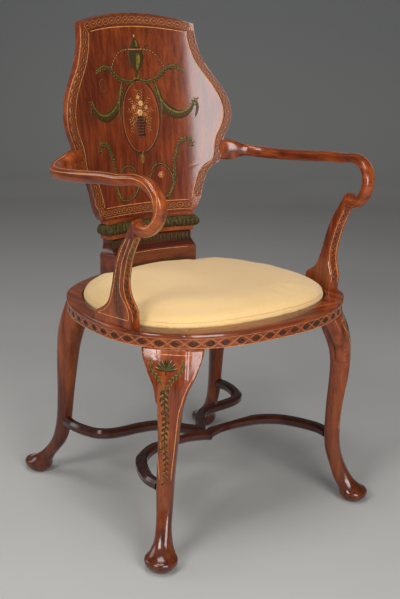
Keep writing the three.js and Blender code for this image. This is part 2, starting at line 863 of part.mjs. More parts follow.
function makeBack() {
  let panel = backPanelBody(0).add(tongues(0, seatHeight - tongueSeat + gap, backBottom + overrun));
  const dowel = armBackDowel(gap);
  panel = panel.subtract(dowel).subtract(mirrored(dowel));
  addPiece('back_panel', panel, mahogany, 0.3);
  addShoe('back_fillet', torusTop, backBottom, mahogany, [
    [0, filletProjection, filletSpread], [1, filletProjection, filletSpread],
  ]);
  addPiece('back_torus', cutTongues(gadroonedTorus()), greenPaint, 0.5);
  addShoe('back_fascia', cavettoTop, fasciaTop, mahogany, [
    [0, neckProjection, neckSpread], [0.2, fasciaProjection, fasciaSpread],
    [1, fasciaProjection, fasciaSpread],
  ]);
  addShoe('back_cavetto', plinthTop, cavettoTop, greenPaint, cavettoShares.map(([rise, out]) => [
    rise,
    neckProjection + out * (plinthProjection - neckProjection),
    neckSpread + out * (plinthSpread - neckSpread),
  ]));
  addShoe('back_plinth', seatHeight, plinthTop, mahogany, [
    [0, plinthProjection, plinthSpread], [0.95, plinthProjection, plinthSpread],
    [1, plinthProjection - filletHeight / 4, plinthSpread - filletHeight / 4],
  ]);
}

function cutTongues(body) {
  return body.subtract(tongues(gap, seatHeight, backBottom + overrun));
}

// One moulding of the shoe, with slots for the panel's tongues
function addShoe(name, low, high, color, profile) {
  const rings = profile.map(([rise, projection, spread]) => (
    atHeight(shoePlan(projection, spread), low + rise * (high - low - gap))
  ));
  addPiece(name, cutTongues(loftFlat(rings)), color, 0.4);
}

function loftFlat(rings) {
  return gridBody(rings, rings[0].length / 2 - 1);
}

// Torus with gadroons, convex lobes side by side along its front
function gadroonedTorus() {
  const high = torusTop - gap;
  const middle = (fasciaTop + high) / 2;
  const arcSteps = 5;
  const facets = 3;
  const lobes = Math.round((2 * (shoeHalfWidth + torusSpread)) / gadroonPitch);
  const rings = [];
  for (let i = 0; i <= arcSteps; i += 1) {
    const angle = Math.PI * (i / arcSteps - 1 / 2);
    const out = Math.cos(angle);
    const projection = fasciaProjection + out * (torusProjection - fasciaProjection);
    const spread = fasciaSpread + out * (torusSpread - fasciaSpread);
    const wave = (step) => gadroonDepth * out * (1 - Math.abs(Math.sin((Math.PI * step) / facets)));
    const plan = shoePlan(projection, spread, lobes * facets, wave);
    rings.push(atHeight(plan, middle + (Math.sin(angle) * (high - fasciaTop)) / 2));
  }
  return loftFlat(rings);
}

// Arms: from the panel's edge to the crook, as shares of the way out, forward and of the sag
const armPathShares = [
  [0, 0, 0], [0.3, 0.044, -0.3], [0.62, 0.091, -0.6], [0.87, 0.18, -1], [1.02, 0.307, -1],
  [1.07, 0.486, -0.5], [1.055, 0.672, 0.28], [1.03, 0.858, 1.1],
];
// The crook in the plane of its support, as shares of the support's rise
const crookShares = [
  [-0.2, 1.42], [-0.42, 1.447], [-0.58, 1.405], [-0.675, 1.295], [-0.68, 1.163],
  [-0.608, 1.047], [-0.505, 0.987], [-0.403, 1],
];

function armCurve() {
  const crook = crookShares.map(([along, rise]) => (
    new THREE.Vector3(along * supportRise, rise * supportRise, 0).applyMatrix4(supportFrame)
  ));
  const rootZ = seatHeight + armRise;
  const root = new THREE.Vector3(armRootX, backFaceY(armRootX, rootZ) + backThickness / 2, rootZ);
  const arm = armPathShares.map(([across, along, sag]) => new THREE.Vector3(
    root.x + across * (crook[0].x - root.x),
    root.y + along * (crook[0].y - root.y),
    root.z + sag * armSag,
  ));
  return new THREE.CatmullRomCurve3([...arm, ...crook], false, 'centripetal');
}

// Section of the arm along its length: height and depth grow into a block at the back
const armSectionShares = [
  [0, 1, 0.55], [0.015, 1, 0.56], [0.03, 1, 0.8], [0.05, 0.98, 0.86], [0.075, 0.78, 0.86],
  [0.1, 0.6, 0.84], [0.13, 0.53, 0.82],
  [0.5, 0.5, 0.8], [0.68, 0.44, 0.71], [0.9, 0.43, 0.7], [1, 0.5, 0.7],
];

function armBody(grow) {
  const curve = armCurve();
  const points = [];
  for (let i = 0; i <= armSteps; i += 1) {
    const share = i / armSteps;
    points.push(curve.getPointAt(share));
  }
  points[armSteps].addScaledVector(curve.getTangentAt(1), grow);
  const tangent = curve.getTangentAt(0);
  const sideways = new THREE.Vector3(tangent.y, -tangent.x, 0);
  const rings = ringsAlong(points, sideways, (share) => {
    const [height, depth] = between(armSectionShares, share);
    return roundedSection(
      (armRootDepth * depth) / 2 + grow, (armRootHeight * height) / 2 + grow, 3.4, armSides,
    );
  });
  return loft(rings);
}

function armEnd() {
  const curve = armCurve();
  return [curve.getPoint(1), curve.getTangentAt(1)];
}

function crookDowel(grow) {
  const [end, along] = armEnd();
  const from = end.clone().addScaledVector(along, -armDowelLength / 3 - grow);
  const to = end.clone().addScaledVector(along, armDowelLength / 3 + grow);
  return rod(armDowelRadius + grow, from, to);
}

// Edges of the sabre support, from its shoulder down and from its foot up
const supportFrontShares = [
  [-0.17, 0.905], [-0.04, 0.79], [0.074, 0.663], [0.137, 0.547], [0.184, 0.43], [0.158, 0.316],
  [0.074, 0.232], [0, 0.165], [0, 0.13], [0, -0.05],
];
const supportRearShares = [
  [1, -0.05], [1, 0.08], [0.93, 0.115], [0.75, 0.168], [0.61, 0.232], [0.537, 0.316],
  [0.458, 0.43], [0.4, 0.547], [0.32, 0.663], [0.205, 0.79], [0.05, 0.905], [-0.07, 1],
  [-0.17, 1.08],
];

function supportBody() {
  const place = ([along, rise]) => new THREE.Vector2(
    along * supportFootLength - supportFootFront, rise * supportRise,
  );
  const [worldEnd, worldAlong] = armEnd();
  const inward = supportFrame.clone().invert();
  const end = worldEnd.clone().applyMatrix4(inward);
  const along = worldAlong.clone().transformDirection(inward);
  const across = new THREE.Vector2(-along.y, along.x);
  const half = (armRootHeight * armSectionShares[armSectionShares.length - 1][1]) / 2;
  const seat = new THREE.Vector2(end.x + along.x * gap, end.y + along.y * gap);
  const joint = [1, -1].map((side) => seat.clone().addScaledVector(across, side * half));
  const edges = [...supportFrontShares.map(place), ...supportRearShares.map(place)];
  const geometry = new THREE.ExtrudeGeometry(new THREE.Shape([joint[1], ...edges, joint[0]]), {
    depth: supportWidth - 2 * supportArris,
    bevelEnabled: true,
    bevelSegments: 1,
    bevelSize: supportArris,
    bevelThickness: supportArris,
    bevelOffset: -supportArris,
  });
  geometry.translate(0, 0, supportArris - supportWidth / 2);
  geometry.applyMatrix4(supportFrame);
  const reach = 2 * seatHalfWidth;
  const under = box(2 * reach, 2 * reach, reach, 0, 0, seatHeight + gap - reach / 2);
  return solidOf(geometry).subtract(under);
}

function makeArms() {
  const panel = backPanelBody(gap);
  const pin = crookDowel(0);
  const rootPin = armBackDowel(0);
  let arm = largest(armBody(0).subtract(panel));
  arm = arm.subtract(crookDowel(gap)).subtract(armBackDowel(gap));
  let support = supportBody();
  support = support.subtract(armBody(gap)).subtract(crookDowel(gap));
  for (const place of screwPlaces) {
    support = support.subtract(screwHole(place.x, place.y));
  }
  support = largest(support);
  const rows = [
    ['arm', arm, mahogany],
    ['arm_support', support, mahogany],
    ['arm_dowel', pin, beech],
    ['arm_back_dowel', rootPin, beech],
  ];
  for (const [name, solid, color] of rows) {
    addPiece(`${name}_left`, solid, color);
    addPiece(`${name}_right`, mirrored(solid), color);
  }
  screwPlaces.forEach((place, i) => {
    const screw = screwAt(place.x, place.y);
    addPiece(`support_screw_left_${i + 1}`, screw, steel, 0.4, 1);
    addPiece(`support_screw_right_${i + 1}`, mirrored(screw), steel, 0.4, 1);
  });
}

// Webbing straps, woven over and under each other across the seat opening
function ovalReach(halfWidth, depth, x) {
  const share = 1 - Math.abs(x / halfWidth) ** seatSquareness;
  return depth * share ** (1 / seatSquareness);
}

function strap(along, place, from, to, crossings, first) {
  const level = recessFloor + webLift;
  const points = [];
  const stations = [[from, 0]];
  crossings.forEach((at, i) => {
    const lift = (i + first) % 2 ? webRise : -webRise;
    stations.push([at - webWidth / 2, lift], [at + webWidth / 2, lift]);
  });
  stations.push([to, 0]);
  const rest = webThickness / 2 + gap - webLift;
  stations[0][1] = rest;
  stations[stations.length - 1][1] = rest;
  stations.forEach(([at, lift]) => {
    const z = level + Math.max(lift, rest);
    points.push(along ? new THREE.Vector3(place, at, z) : new THREE.Vector3(at, place, z));
  });
  const half = webWidth / 2;
  const wide = along ? new THREE.Vector3(half, 0, 0) : new THREE.Vector3(0, half, 0);
  const thick = new THREE.Vector3(0, 0, webThickness / 2);
  const rings = points.map((point) => [
    point.clone().add(wide).add(thick),
    point.clone().sub(wide).add(thick),
    point.clone().sub(wide).sub(thick),
    point.clone().add(wide).sub(thick),
  ]);
  return loft(rings);
}

function makeWebbing() {
  const placeShares = [-0.62, -0.207, 0.207, 0.62];
  const middleY = (openingRear - openingFront) / 2;
  const halfDepth = (openingRear + openingFront) / 2;
  const xs = placeShares.map((share) => share * openingHalfWidth);
  const ys = placeShares.map((share) => middleY + share * halfDepth);
  xs.forEach((x, i) => {
    const from = -ovalReach(openingHalfWidth, openingFront, x) - webTacking;
    const to = ovalReach(openingHalfWidth, openingRear, x) + webTacking;
    addPiece(`webbing_along_${i + 1}`, strap(true, x, from, to, ys, i % 2), hessian, 0.9);
  });
  ys.forEach((y, i) => {
    const depth = y < 0 ? openingFront : openingRear;
    const reach = ovalReach(depth, openingHalfWidth, y) + webTacking;
    addPiece(`webbing_across_${i + 1}`, strap(false, y, -reach, reach, xs, (i + 1) % 2), hessian, 0.9);
  });
}

// Seat pad: share of the recess outline and height above the rim, in shares of the crown
const padProfileShares = [
  [0.62, 0.955], [0.8, 0.87], [0.9, 0.74], [0.945, 0.62], [0.975, 0.46], [0.994, 0.26],
];

function padPlan(share, out) {
  const middleY = (recessRear - recessFront) / 2;
  return inset(recessOutline, -out).map((point) => new THREE.Vector3(
    point.x * share, middleY + (point.y - middleY) * share, 0,
  ));
}

function padHeight(rise) {
  return seatHeight + rise * padCrown;
}

function makeUpholstery() {
  const canvas = slab(inset(recessOutline, canvasInset), canvasBottom, canvasBottom + canvasThickness);
  addPiece('seat_canvas', fieldCut(canvas, canvasInset), linen, 0.9);
  const rings = [
    atHeight(padPlan(1, -padClearance), padBottom),
    atHeight(padPlan(1, -padClearance), seatHeight + gap),
    atHeight(padPlan(1, padBulge), seatHeight + 2 * gap + padBulge),
    ...padProfileShares.slice().reverse().map(([share, rise]) => (
      atHeight(padPlan(share, padBulge), padHeight(rise))
    )),
    atHeight(padPlan(0.3, padBulge), padHeight(1)),
  ];
  const pad = fieldCut(loft(rings), padClearance);
  addPiece('seat_pad', largest(pad), creamCloth, 0.9);
}

function standOnOrigin() {
  const bounds = new THREE.Box3().setFromObject(chair);
  const middle = bounds.getCenter(new THREE.Vector3());
  chair.position.set(-middle.x, -middle.y, -bounds.min.z);
}

makeSeatFrame();
makeLegs();
makeBrackets();
makeStretcher();
makeBack();
makeArms();
makeWebbing();
makeUpholstery();
standOnOrigin();

export default chair;
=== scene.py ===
"""The looks of a painted armchair with a shield shaped back.

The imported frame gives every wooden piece. Here each one is rounded and polished, the painted
ornament is laid on it in thin brush strokes, and the seat cushion is inflated, welted and tacked.
"""

from __future__ import annotations

import bisect
import logging
import math
from collections.abc import Iterable, Sequence
from dataclasses import dataclass, field, replace
from enum import Enum

import bmesh
import bpy
from mathutils import Matrix, Vector
from mathutils.bvhtree import BVHTree


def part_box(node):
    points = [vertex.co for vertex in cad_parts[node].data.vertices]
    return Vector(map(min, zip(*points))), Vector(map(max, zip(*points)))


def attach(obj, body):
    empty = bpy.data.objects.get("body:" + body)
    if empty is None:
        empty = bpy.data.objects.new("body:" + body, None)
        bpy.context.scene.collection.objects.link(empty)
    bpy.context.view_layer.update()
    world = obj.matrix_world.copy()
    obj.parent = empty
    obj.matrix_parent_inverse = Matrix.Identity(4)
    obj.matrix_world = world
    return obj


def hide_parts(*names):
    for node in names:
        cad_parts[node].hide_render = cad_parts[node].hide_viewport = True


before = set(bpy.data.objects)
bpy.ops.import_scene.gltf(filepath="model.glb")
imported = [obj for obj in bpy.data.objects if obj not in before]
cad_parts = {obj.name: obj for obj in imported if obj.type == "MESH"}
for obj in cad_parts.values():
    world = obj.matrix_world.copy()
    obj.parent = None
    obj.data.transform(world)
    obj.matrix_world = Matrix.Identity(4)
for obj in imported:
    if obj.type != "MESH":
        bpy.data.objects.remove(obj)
MM = 0.001
LOG = logging.getLogger("armchair")
PHOTO_LONG_SIDE = 599
SIDES = {"left": 1, "right": -1}

Plan = tuple[float, float]
Inputs = dict[str | int, object]


class Slot(Enum):
    """The names of the material slots."""

    MAHOGANY = "mahogany"
    GREEN_PAINT = "green_paint"
    COVER = "cover"


class Grain(Enum):
    """The way the grain runs, as how much each axis is drawn out along it."""

    UPRIGHT = (1.0, 1.0, 0.05)
    ACROSS = (0.05, 1.0, 1.0)
    FORWARD = (1.0, 0.05, 1.0)


class Pigment(Enum):
    """A colour of the painted ornament: its finish, its slot and how proud of the polish it lies, in mm."""

    GLAZE = ("brown_glaze", Slot.MAHOGANY, 0.1)
    UMBER = ("umber_shade", Slot.GREEN_PAINT, 0.15)
    OCHRE = ("ochre_scroll", Slot.GREEN_PAINT, 0.18)
    STRING = ("string_line", Slot.MAHOGANY, 0.2)
    GREEN = ("leaf_green", Slot.GREEN_PAINT, 0.24)
    LIME = ("leaf_light", Slot.GREEN_PAINT, 0.27)
    GOLD = ("leaf_gold", Slot.GREEN_PAINT, 0.3)
    ROSE = ("rose_red", Slot.GREEN_PAINT, 0.33)
    CREAM = ("petal_cream", Slot.GREEN_PAINT, 0.36)

    def __init__(self, finish: str, slot: Slot, height: float) -> None:
        """Keep the parts of the value under their own names.

        Args:
            finish: The name of the finish, which also ends the painted piece's name.
            slot: The name of a material slot kept with the paint.
            height: How far the paint stands over the polish.
        """
        self.finish = finish
        self.slot = slot
        self.height = height


class Pull(Enum):
    """How a brush widens and narrows along a stroke."""

    EVEN = "even"
    LEAF = "leaf"
    TAPER = "taper"

    def share(self, along: float) -> float:
        """How much of the full width is reached.

        Args:
            along: The place on the stroke, from 0 to 1.

        Returns:
            A share from 0 to 1.
        """
        round_end, landing, fullness, thinning = 0.04, 0.08, 0.8, 0.7
        if self is Pull.EVEN:
            from_end = min(1.0, min(along, 1 - along) / round_end)
            return math.sqrt(1 - (1 - from_end) ** 2)
        if self is Pull.LEAF:
            return math.sin(math.pi * along**fullness) ** fullness if 0 < along < 1 else 0.0
        return min(1.0, along / landing) ** 0.5 * (1 - along) ** thinning


@dataclass(frozen=True)
class Stroke:
    """One pull of the brush, through points of a flat plan in millimetres."""

    points: tuple[Plan, ...]
    width: float
    pull: Pull = Pull.EVEN
    closed: bool = False
    widths: tuple[float, ...] = ()

    def width_at(self, along: float) -> float:
        """How wide the stroke is at one place.

        Args:
            along: The place on the stroke, from 0 to 1.

        Returns:
            The width in millimetres.
        """
        if not self.widths:
            return self.width * (1.0 if self.closed else self.pull.share(along))
        place = along * (len(self.widths) - 1)
        before = min(int(place), len(self.widths) - 2)
        return self.widths[before] + (self.widths[before + 1] - self.widths[before]) * (place - before)

    def mirrored(self) -> Stroke:
        """The same stroke on the other side of the plan's middle line."""
        return replace(self, points=tuple((-x, y) for x, y in self.points))


def both_sides(strokes: Iterable[Stroke]) -> list[Stroke]:
    """Each stroke and its mirror image."""
    return [copy for stroke in strokes for copy in (stroke, stroke.mirrored())]


def ring(centre: Plan, half_width: float, half_height: float, width: float, steps: int = 16) -> Stroke:
    """A closed oval line.

    Args:
        centre: Its middle on the plan.
        half_width: Half its size across.
        half_height: Half its size up.
        width: The line's width.
        steps: The number of points round it.

    Returns:
        The stroke.
    """
    x, y = centre
    turns = (2 * math.pi * i / steps for i in range(steps))
    points = tuple((x + half_width * math.cos(a), y + half_height * math.sin(a)) for a in turns)
    return Stroke(points, width, closed=True)


def disc(centre: Plan, half_width: float, half_height: float) -> Stroke:
    """A filled oval, as one short broad stroke.

    Args:
        centre: Its middle on the plan.
        half_width: Half its size across.
        half_height: Half its size up.

    Returns:
        The stroke.
    """
    x, y = centre
    bulge_shares = (0.12, 0.6, 0.87, 1.0, 0.87, 0.6, 0.12)
    return Stroke(((x - half_width, y), (x, y), (x + half_width, y)), 2 * half_height,
                  widths=tuple(2 * half_height * share for share in bulge_shares))


def smooth_path(points: Sequence[Plan], closed: bool, step: float) -> list[Vector]:
    """Run a smooth curve through points.

    Args:
        points: The places it passes.
        closed: Whether it returns to its start.
        step: The longest piece between two places of the result.

    Returns:
        The places along it, without a repeat of the first.
    """
    held = [Vector(p) for p in points]
    count = len(held)
    path = []
    for i in range(count if closed else count - 1):
        if closed:
            before, start, end, after = (held[(i + k) % count] for k in (-1, 0, 1, 2))
        else:
            start, end = held[i], held[i + 1]
            before = held[i - 1] if i else start * 2 - end
            after = held[i + 2] if i + 2 < count else end * 2 - start
        pieces = max(1, math.ceil((end - start).length / step))
        for k in range(pieces):
            t = k / pieces
            path.append(0.5 * (2 * start + (end - before) * t
                               + (2 * before - 5 * start + 4 * end - after) * t**2
                               + (3 * start - before - 3 * end + after) * t**3))
    if not closed:
        path.append(held[-1])
    return path


@dataclass
class Skin:
    """Points in millimetres and the faces between them, kept until they become a piece."""

    points: list[Vector] = field(default_factory=list)
    faces: list[tuple[int, ...]] = field(default_factory=list)

    def add(self, points: Iterable[Vector], faces: Iterable[Sequence[int]]) -> None:
        """Take in more points and faces.

        Args:
            points: The new points.
            faces: Their faces, which count from the first of the new points.
        """
        first = len(self.points)
        self.points += points
        self.faces += [tuple(first + i for i in face) for face in faces]


def paint_flat(strokes: Iterable[Stroke], height: float, step: float = 2.5, sink: float = 0.25) -> Skin:
    """Make strokes into thin closed ribbons over a flat plan, thicker in the middle than at the edges.

    Args:
        strokes: The strokes.
        height: How far the ribbons rise above the plan, in millimetres.
        step: The longest piece of a ribbon.
        sink: How far the ribbons reach below the plan.

    Returns:
        The ribbons.
    """
    column_width, least_width, edge_drop_share = 2.5, 0.2, 0.6
    skin = Skin()
    for stroke in strokes:
        path = smooth_path(stroke.points, stroke.closed, step)
        rows = len(path)
        columns = max(3, math.ceil(max([stroke.width, *stroke.widths]) / column_width) + 1)
        points = []
        for i, place in enumerate(path):
            ahead = path[(i + 1) % rows] if stroke.closed or i + 1 < rows else place
            behind = path[i - 1] if stroke.closed or i else place
            along = (ahead - behind).normalized()
            half = max(stroke.width_at(i / max(1, rows - 1)), least_width) / 2
            for top in (True, False):
                for c in range(columns):
                    share = 2 * c / (columns - 1) - 1
                    level = height * (1 - edge_drop_share * share**4) if top else -sink
                    reach = share * half
                    points.append(Vector((place.x - along.y * reach, place.y + along.x * reach, level)))
        skin.add(points, ribbon_faces(rows, columns, stroke.closed))
    return skin


def ribbon_faces(rows: int, columns: int, closed: bool) -> list[tuple[int, ...]]:
    """List the faces of one ribbon, whose rows hold a top and a bottom run of columns.

    Args:
        rows: The number of rows.
        columns: The number of points across.
        closed: Whether the last row joins the first.

    Returns:
        The faces, pointing out.
    """
    deep = 2 * columns

    def at(row: int, column: int, level: int) -> int:
        """The number of one point, with level 0 on top and 1 below."""
        return (row % rows) * deep + level * columns + column

    faces = []
    for row in range(rows if closed else rows - 1):
        for c in range(columns - 1):
            faces.append((at(row, c, 0), at(row + 1, c, 0), at(row + 1, c + 1, 0), at(row, c + 1, 0)))
            faces.append((at(row, c, 1), at(row, c + 1, 1), at(row + 1, c + 1, 1), at(row + 1, c, 1)))
        last = columns - 1
        faces.append((at(row, 0, 0), at(row, 0, 1), at(row + 1, 0, 1), at(row + 1, 0, 0)))
        faces.append((at(row, last, 0), at(row + 1, last, 0), at(row + 1, last, 1), at(row, last, 1)))
    if not closed:
        end = rows - 1
        for c in range(columns - 1):
            faces.append((at(0, c, 0), at(0, c + 1, 0), at(0, c + 1, 1), at(0, c, 1)))
            faces.append((at(end, c, 0), at(end, c, 1), at(end, c + 1, 1), at(end, c + 1, 0)))
    return faces


def linear(hex_colour: str) -> tuple[float, float, float, float]:
    """Turn an sRGB hex colour into the linear values that the shaders take.

    Args:
        hex_colour: Six hex digits, such as "8a3c20".

    Returns:
        Linear red, green and blue, and an alpha of 1.
    """
    parts = [int(hex_colour[i : i + 2], 16) / 255 for i in (0, 2, 4)]
    red, green, blue = [p / 12.92 if p <= 0.04045 else ((p + 0.055) / 1.055) ** 2.4 for p in parts]
    return red, green, blue, 1.0


def feed(tree: bpy.types.NodeTree, node: bpy.types.Node, inputs: Inputs) -> None:
    """Link a node's inputs, or set them.

    Args:
        tree: The node tree that holds the node.
        node: The node.
        inputs: Input name or index to an output socket, or to a plain value.
    """
    for key, value in inputs.items():
        if isinstance(value, bpy.types.NodeSocket):
            tree.links.new(value, node.inputs[key])
        else:
            node.inputs[key].default_value = value


def add_node(tree: bpy.types.NodeTree, kind: str, inputs: Inputs | None = None,
             stops: Sequence[tuple[float, str]] = (), **settings: object) -> bpy.types.Node:
    """Add a node, set it up and link its inputs.

    Args:
        tree: The node tree that takes the node.
        kind: The node's type name.
        inputs: Input name or index to an output socket, or to a plain value.
        stops: The position and sRGB hex colour of each stop, where the node holds a ramp.
        settings: Attributes of the node.

    Returns:
        The new node.
    """
    node = tree.nodes.new(kind)
    for name, value in settings.items():
        setattr(node, name, value)
    for _ in stops[2:]:
        node.color_ramp.elements.new(0.5)
    for i, (position, colour) in enumerate(stops):
        node.color_ramp.elements[i].position = position
        node.color_ramp.elements[i].color = linear(colour)
    feed(tree, node, inputs or {})
    return node


class Blank:
    """A new material with its shader and output, and the place on the piece that its patterns read."""

    def __init__(self, name: str) -> None:
        """Make the material.

        Args:
            name: The material's name.
        """
        self.material = bpy.data.materials.new(name)
        self.material.use_nodes = True
        self.tree = self.material.node_tree
        self.tree.nodes.clear()
        self.shader = add_node(self.tree, "ShaderNodeBsdfPrincipled")
        add_node(self.tree, "ShaderNodeOutputMaterial", {"Surface": self.shader.outputs["BSDF"]})
        self.place = add_node(self.tree, "ShaderNodeTexCoord").outputs["Object"]

    def finish(self, inputs: Inputs) -> bpy.types.Material:
        """Feed the shader and hand the material over.

        Args:
            inputs: Shader input name to an output socket, or to a plain value.

        Returns:
            The material.
        """
        feed(self.tree, self.shader, inputs)
        return self.material


@dataclass(frozen=True)
class PolishedMahogany:
    """Sawn, scraped and French polished mahogany: a red brown depth, fine dark pores and a soft gloss."""

    name: str
    grain: Grain
    dark: str = "4c1a07"
    middle: str = "7a3311"
    light: str = "a3521f"
    pore_mm: float = 2.0
    pore_depth_mm: float = 0.04
    pore_shade: float = 0.6
    figure_mm: float = 17.0
    figure_share: float = 0.7
    mottle_mm: float = 90.0
    # The darkening towards the floor stands for painted shade on the legs, and for their dusty feet.
    dust_and_shade_below_mm: float = 10.0
    undarkened_above_mm: float = 400.0
    dust_and_shade_factor: float = 0.42
    roughness: float = 0.5
    bare_gloss: float = 0.1
    polish_roughness: float = 0.15

    def build(self) -> bpy.types.Material:
        """Make the material. It darkens towards the floor: painted shade on the legs under the seat, together
        with dusty, mop-scuffed feet.

        Returns:
            The node material.
        """
        blank = Blank(self.name)
        tree, place = blank.tree, blank.place
        # The noise is drawn out along the grain: the figure as streaks, the pores as short dark flecks.
        along = add_node(tree, "ShaderNodeMapping",
                         {"Vector": place, "Scale": self.grain.value}).outputs["Vector"]
        figure = add_node(tree, "ShaderNodeTexNoise", {"Vector": along, "Scale": 1 / (self.figure_mm * MM),
                          "Detail": 6.0, "Roughness": 0.6, "Distortion": 0.15}).outputs["Fac"]
        pores = add_node(tree, "ShaderNodeTexNoise", {"Vector": along, "Scale": 1 / (self.pore_mm * MM),
                         "Detail": 2.0, "Roughness": 0.5}).outputs["Fac"]
        # The mottle gives slow lighter and darker patches, in colour and in gloss.
        mottle = add_node(tree, "ShaderNodeTexNoise", {"Vector": place, "Scale": 1 / (self.mottle_mm * MM),
                          "Detail": 2.0}).outputs["Fac"]
        depth = add_node(tree, "ShaderNodeMath", {0: mottle, 1: 1 - self.figure_share},
                         operation="MULTIPLY").outputs[0]
        mixed = add_node(tree, "ShaderNodeMath", {0: figure, 1: self.figure_share, 2: depth},
                         operation="MULTIPLY_ADD").outputs[0]
        timber = add_node(tree, "ShaderNodeValToRGB", {"Fac": mixed},
                          ((0.36, self.dark), (0.5, self.middle), (0.66, self.light))).outputs["Color"]
        flecks = add_node(tree, "ShaderNodeMapRange", {"Value": pores, "From Min": 0.3, "From Max": 0.46,
                          "To Min": self.pore_shade}).outputs["Result"]
        # Darker towards the floor: painted shade on the lower legs, with dusty, scuffed feet.
        height = add_node(tree, "ShaderNodeSeparateXYZ", {"Vector": place}).outputs["Z"]
        dust_and_shade = add_node(tree, "ShaderNodeMapRange", {"Value": height, "From Min": self.dust_and_shade_below_mm * MM,
                        "From Max": self.undarkened_above_mm * MM, "To Min": self.dust_and_shade_factor}).outputs["Result"]
        shade = add_node(tree, "ShaderNodeMath", {0: flecks, 1: dust_and_shade}, operation="MULTIPLY").outputs[0]
        colour = add_node(tree, "ShaderNodeMix", {0: 1.0, 6: timber, 7: shade}, data_type="RGBA",
                          blend_type="MULTIPLY").outputs[2]
        dullness = add_node(tree, "ShaderNodeMapRange", {"Value": mottle, "To Min": self.roughness - 0.06,
                            "To Max": self.roughness + 0.12}).outputs["Result"]
        bump = add_node(tree, "ShaderNodeBump", {"Height": pores, "Strength": 0.3,
                        "Distance": self.pore_depth_mm * MM}).outputs["Normal"]
        return blank.finish({"Base Color": colour, "Roughness": dullness, "Normal": bump,
                             "Specular IOR Level": self.bare_gloss, "Coat Weight": 1.0,
                             "Coat Roughness": self.polish_roughness})


@dataclass(frozen=True)
class BrushedPaint:
    """Oil paint laid thinly over the polish with a small brush, worn so that it varies along a stroke."""

    name: str
    colour: str
    worn: str
    patch_mm: float = 5.0
    thickness_mm: float = 0.1
    roughness: float = 0.6
    gloss: float = 0.2
    varnish: float = 0.12
    varnish_roughness: float = 0.15

    def build(self) -> bpy.types.Material:
        """Make the material.

        Returns:
            The node material.
        """
        blank = Blank(self.name)
        tree = blank.tree
        patches = add_node(tree, "ShaderNodeTexNoise", {"Vector": blank.place, "Detail": 4.0,
                           "Roughness": 0.65, "Scale": 1 / (self.patch_mm * MM)}).outputs["Fac"]
        colour = add_node(tree, "ShaderNodeValToRGB", {"Fac": patches},
                          ((0.36, self.worn), (0.56, self.colour))).outputs["Color"]
        bump = add_node(tree, "ShaderNodeBump", {"Height": patches, "Strength": 0.3,
                        "Distance": self.thickness_mm * MM}).outputs["Normal"]
        return blank.finish({"Base Color": colour, "Normal": bump, "Roughness": self.roughness,
                             "Specular IOR Level": self.gloss, "Coat Weight": self.varnish,
                             "Coat Roughness": self.varnish_roughness})


@dataclass(frozen=True)
class WovenCloth:
    """Plain woven cloth: crossed threads that show as a fine even tooth, with a faint soiling in patches."""

    name: str
    thread: str
    gap: str
    soiled: str
    thread_mm: float = 1.5
    thread_depth_mm: float = 0.5
    patch_mm: float = 110.0
    roughness: float = 0.9
    fuzz: float = 0.2
    fuzz_roughness: float = 0.5

    def build(self) -> bpy.types.Material:
        """Make the material. Threads are drawn about twice their real width so that they show.

        Returns:
            The node material.
        """
        blank = Blank(self.name)
        tree, place = blank.tree, blank.place
        split = add_node(tree, "ShaderNodeSeparateXYZ", {"Vector": place}).outputs
        turns = 2 * math.pi / (self.thread_mm * MM)
        waves = []
        for axis in ("X", "Y"):
            phase = add_node(tree, "ShaderNodeMath", {0: split[axis], 1: turns},
                             operation="MULTIPLY").outputs[0]
            waves.append(add_node(tree, "ShaderNodeMath", {0: phase}, operation="SINE").outputs[0])
        weave = add_node(tree, "ShaderNodeMath", {0: waves[0], 1: waves[1]}, operation="MULTIPLY").outputs[0]
        height = add_node(tree, "ShaderNodeMapRange", {"Value": weave, "From Min": -1.0}).outputs["Result"]
        slubs = add_node(tree, "ShaderNodeTexNoise", {"Vector": place, "Scale": 1 / (self.thread_mm * MM),
                         "Detail": 3.0}).outputs["Fac"]
        patches = add_node(tree, "ShaderNodeTexNoise", {"Vector": place, "Scale": 1 / (self.patch_mm * MM),
                           "Detail": 4.0}).outputs["Fac"]
        both = add_node(tree, "ShaderNodeMath", {0: height, 1: slubs}, operation="ADD").outputs[0]
        tooth = add_node(tree, "ShaderNodeMath", {0: both, 1: 0.5}, operation="MULTIPLY").outputs[0]
        cloth = add_node(tree, "ShaderNodeValToRGB", {"Fac": tooth},
                         ((0.25, self.gap), (0.6, self.thread))).outputs["Color"]
        soiling = add_node(tree, "ShaderNodeMapRange", {"Value": patches, "From Min": 0.5, "From Max": 0.75,
                           "To Max": 0.6}).outputs["Result"]
        colour = add_node(tree, "ShaderNodeMix", {0: soiling, 6: cloth, 7: linear(self.soiled)},
                          data_type="RGBA").outputs[2]
        bump = add_node(tree, "ShaderNodeBump", {"Height": tooth, "Strength": 0.5,
                        "Distance": self.thread_depth_mm * MM}).outputs["Normal"]
        return blank.finish({"Base Color": colour, "Normal": bump, "Roughness": self.roughness,
                             "Sheen Weight": self.fuzz, "Sheen Roughness": self.fuzz_roughness})


@dataclass(frozen=True)
class BarePart:
    """A hidden plain part, such as a turned beech dowel or a drawn steel screw, with faint tool streaks."""

    name: str
    light: str
    dark: str
    streak_mm: float
    metallic: float = 0.0
    roughness: float = 0.6

    def build(self) -> bpy.types.Material:
        """Make the material.

        Returns:
            The node material.
        """
        blank = Blank(self.name)
        streaks = add_node(blank.tree, "ShaderNodeTexNoise", {"Vector": blank.place, "Detail": 4.0,
                           "Scale": 1 / (self.streak_mm * MM)}).outputs["Fac"]
        colour = add_node(blank.tree, "ShaderNodeValToRGB", {"Fac": streaks},
                          ((0.35, self.dark), (0.65, self.light))).outputs["Color"]
        return blank.finish({"Base Color": colour, "Metallic": self.metallic, "Roughness": self.roughness})


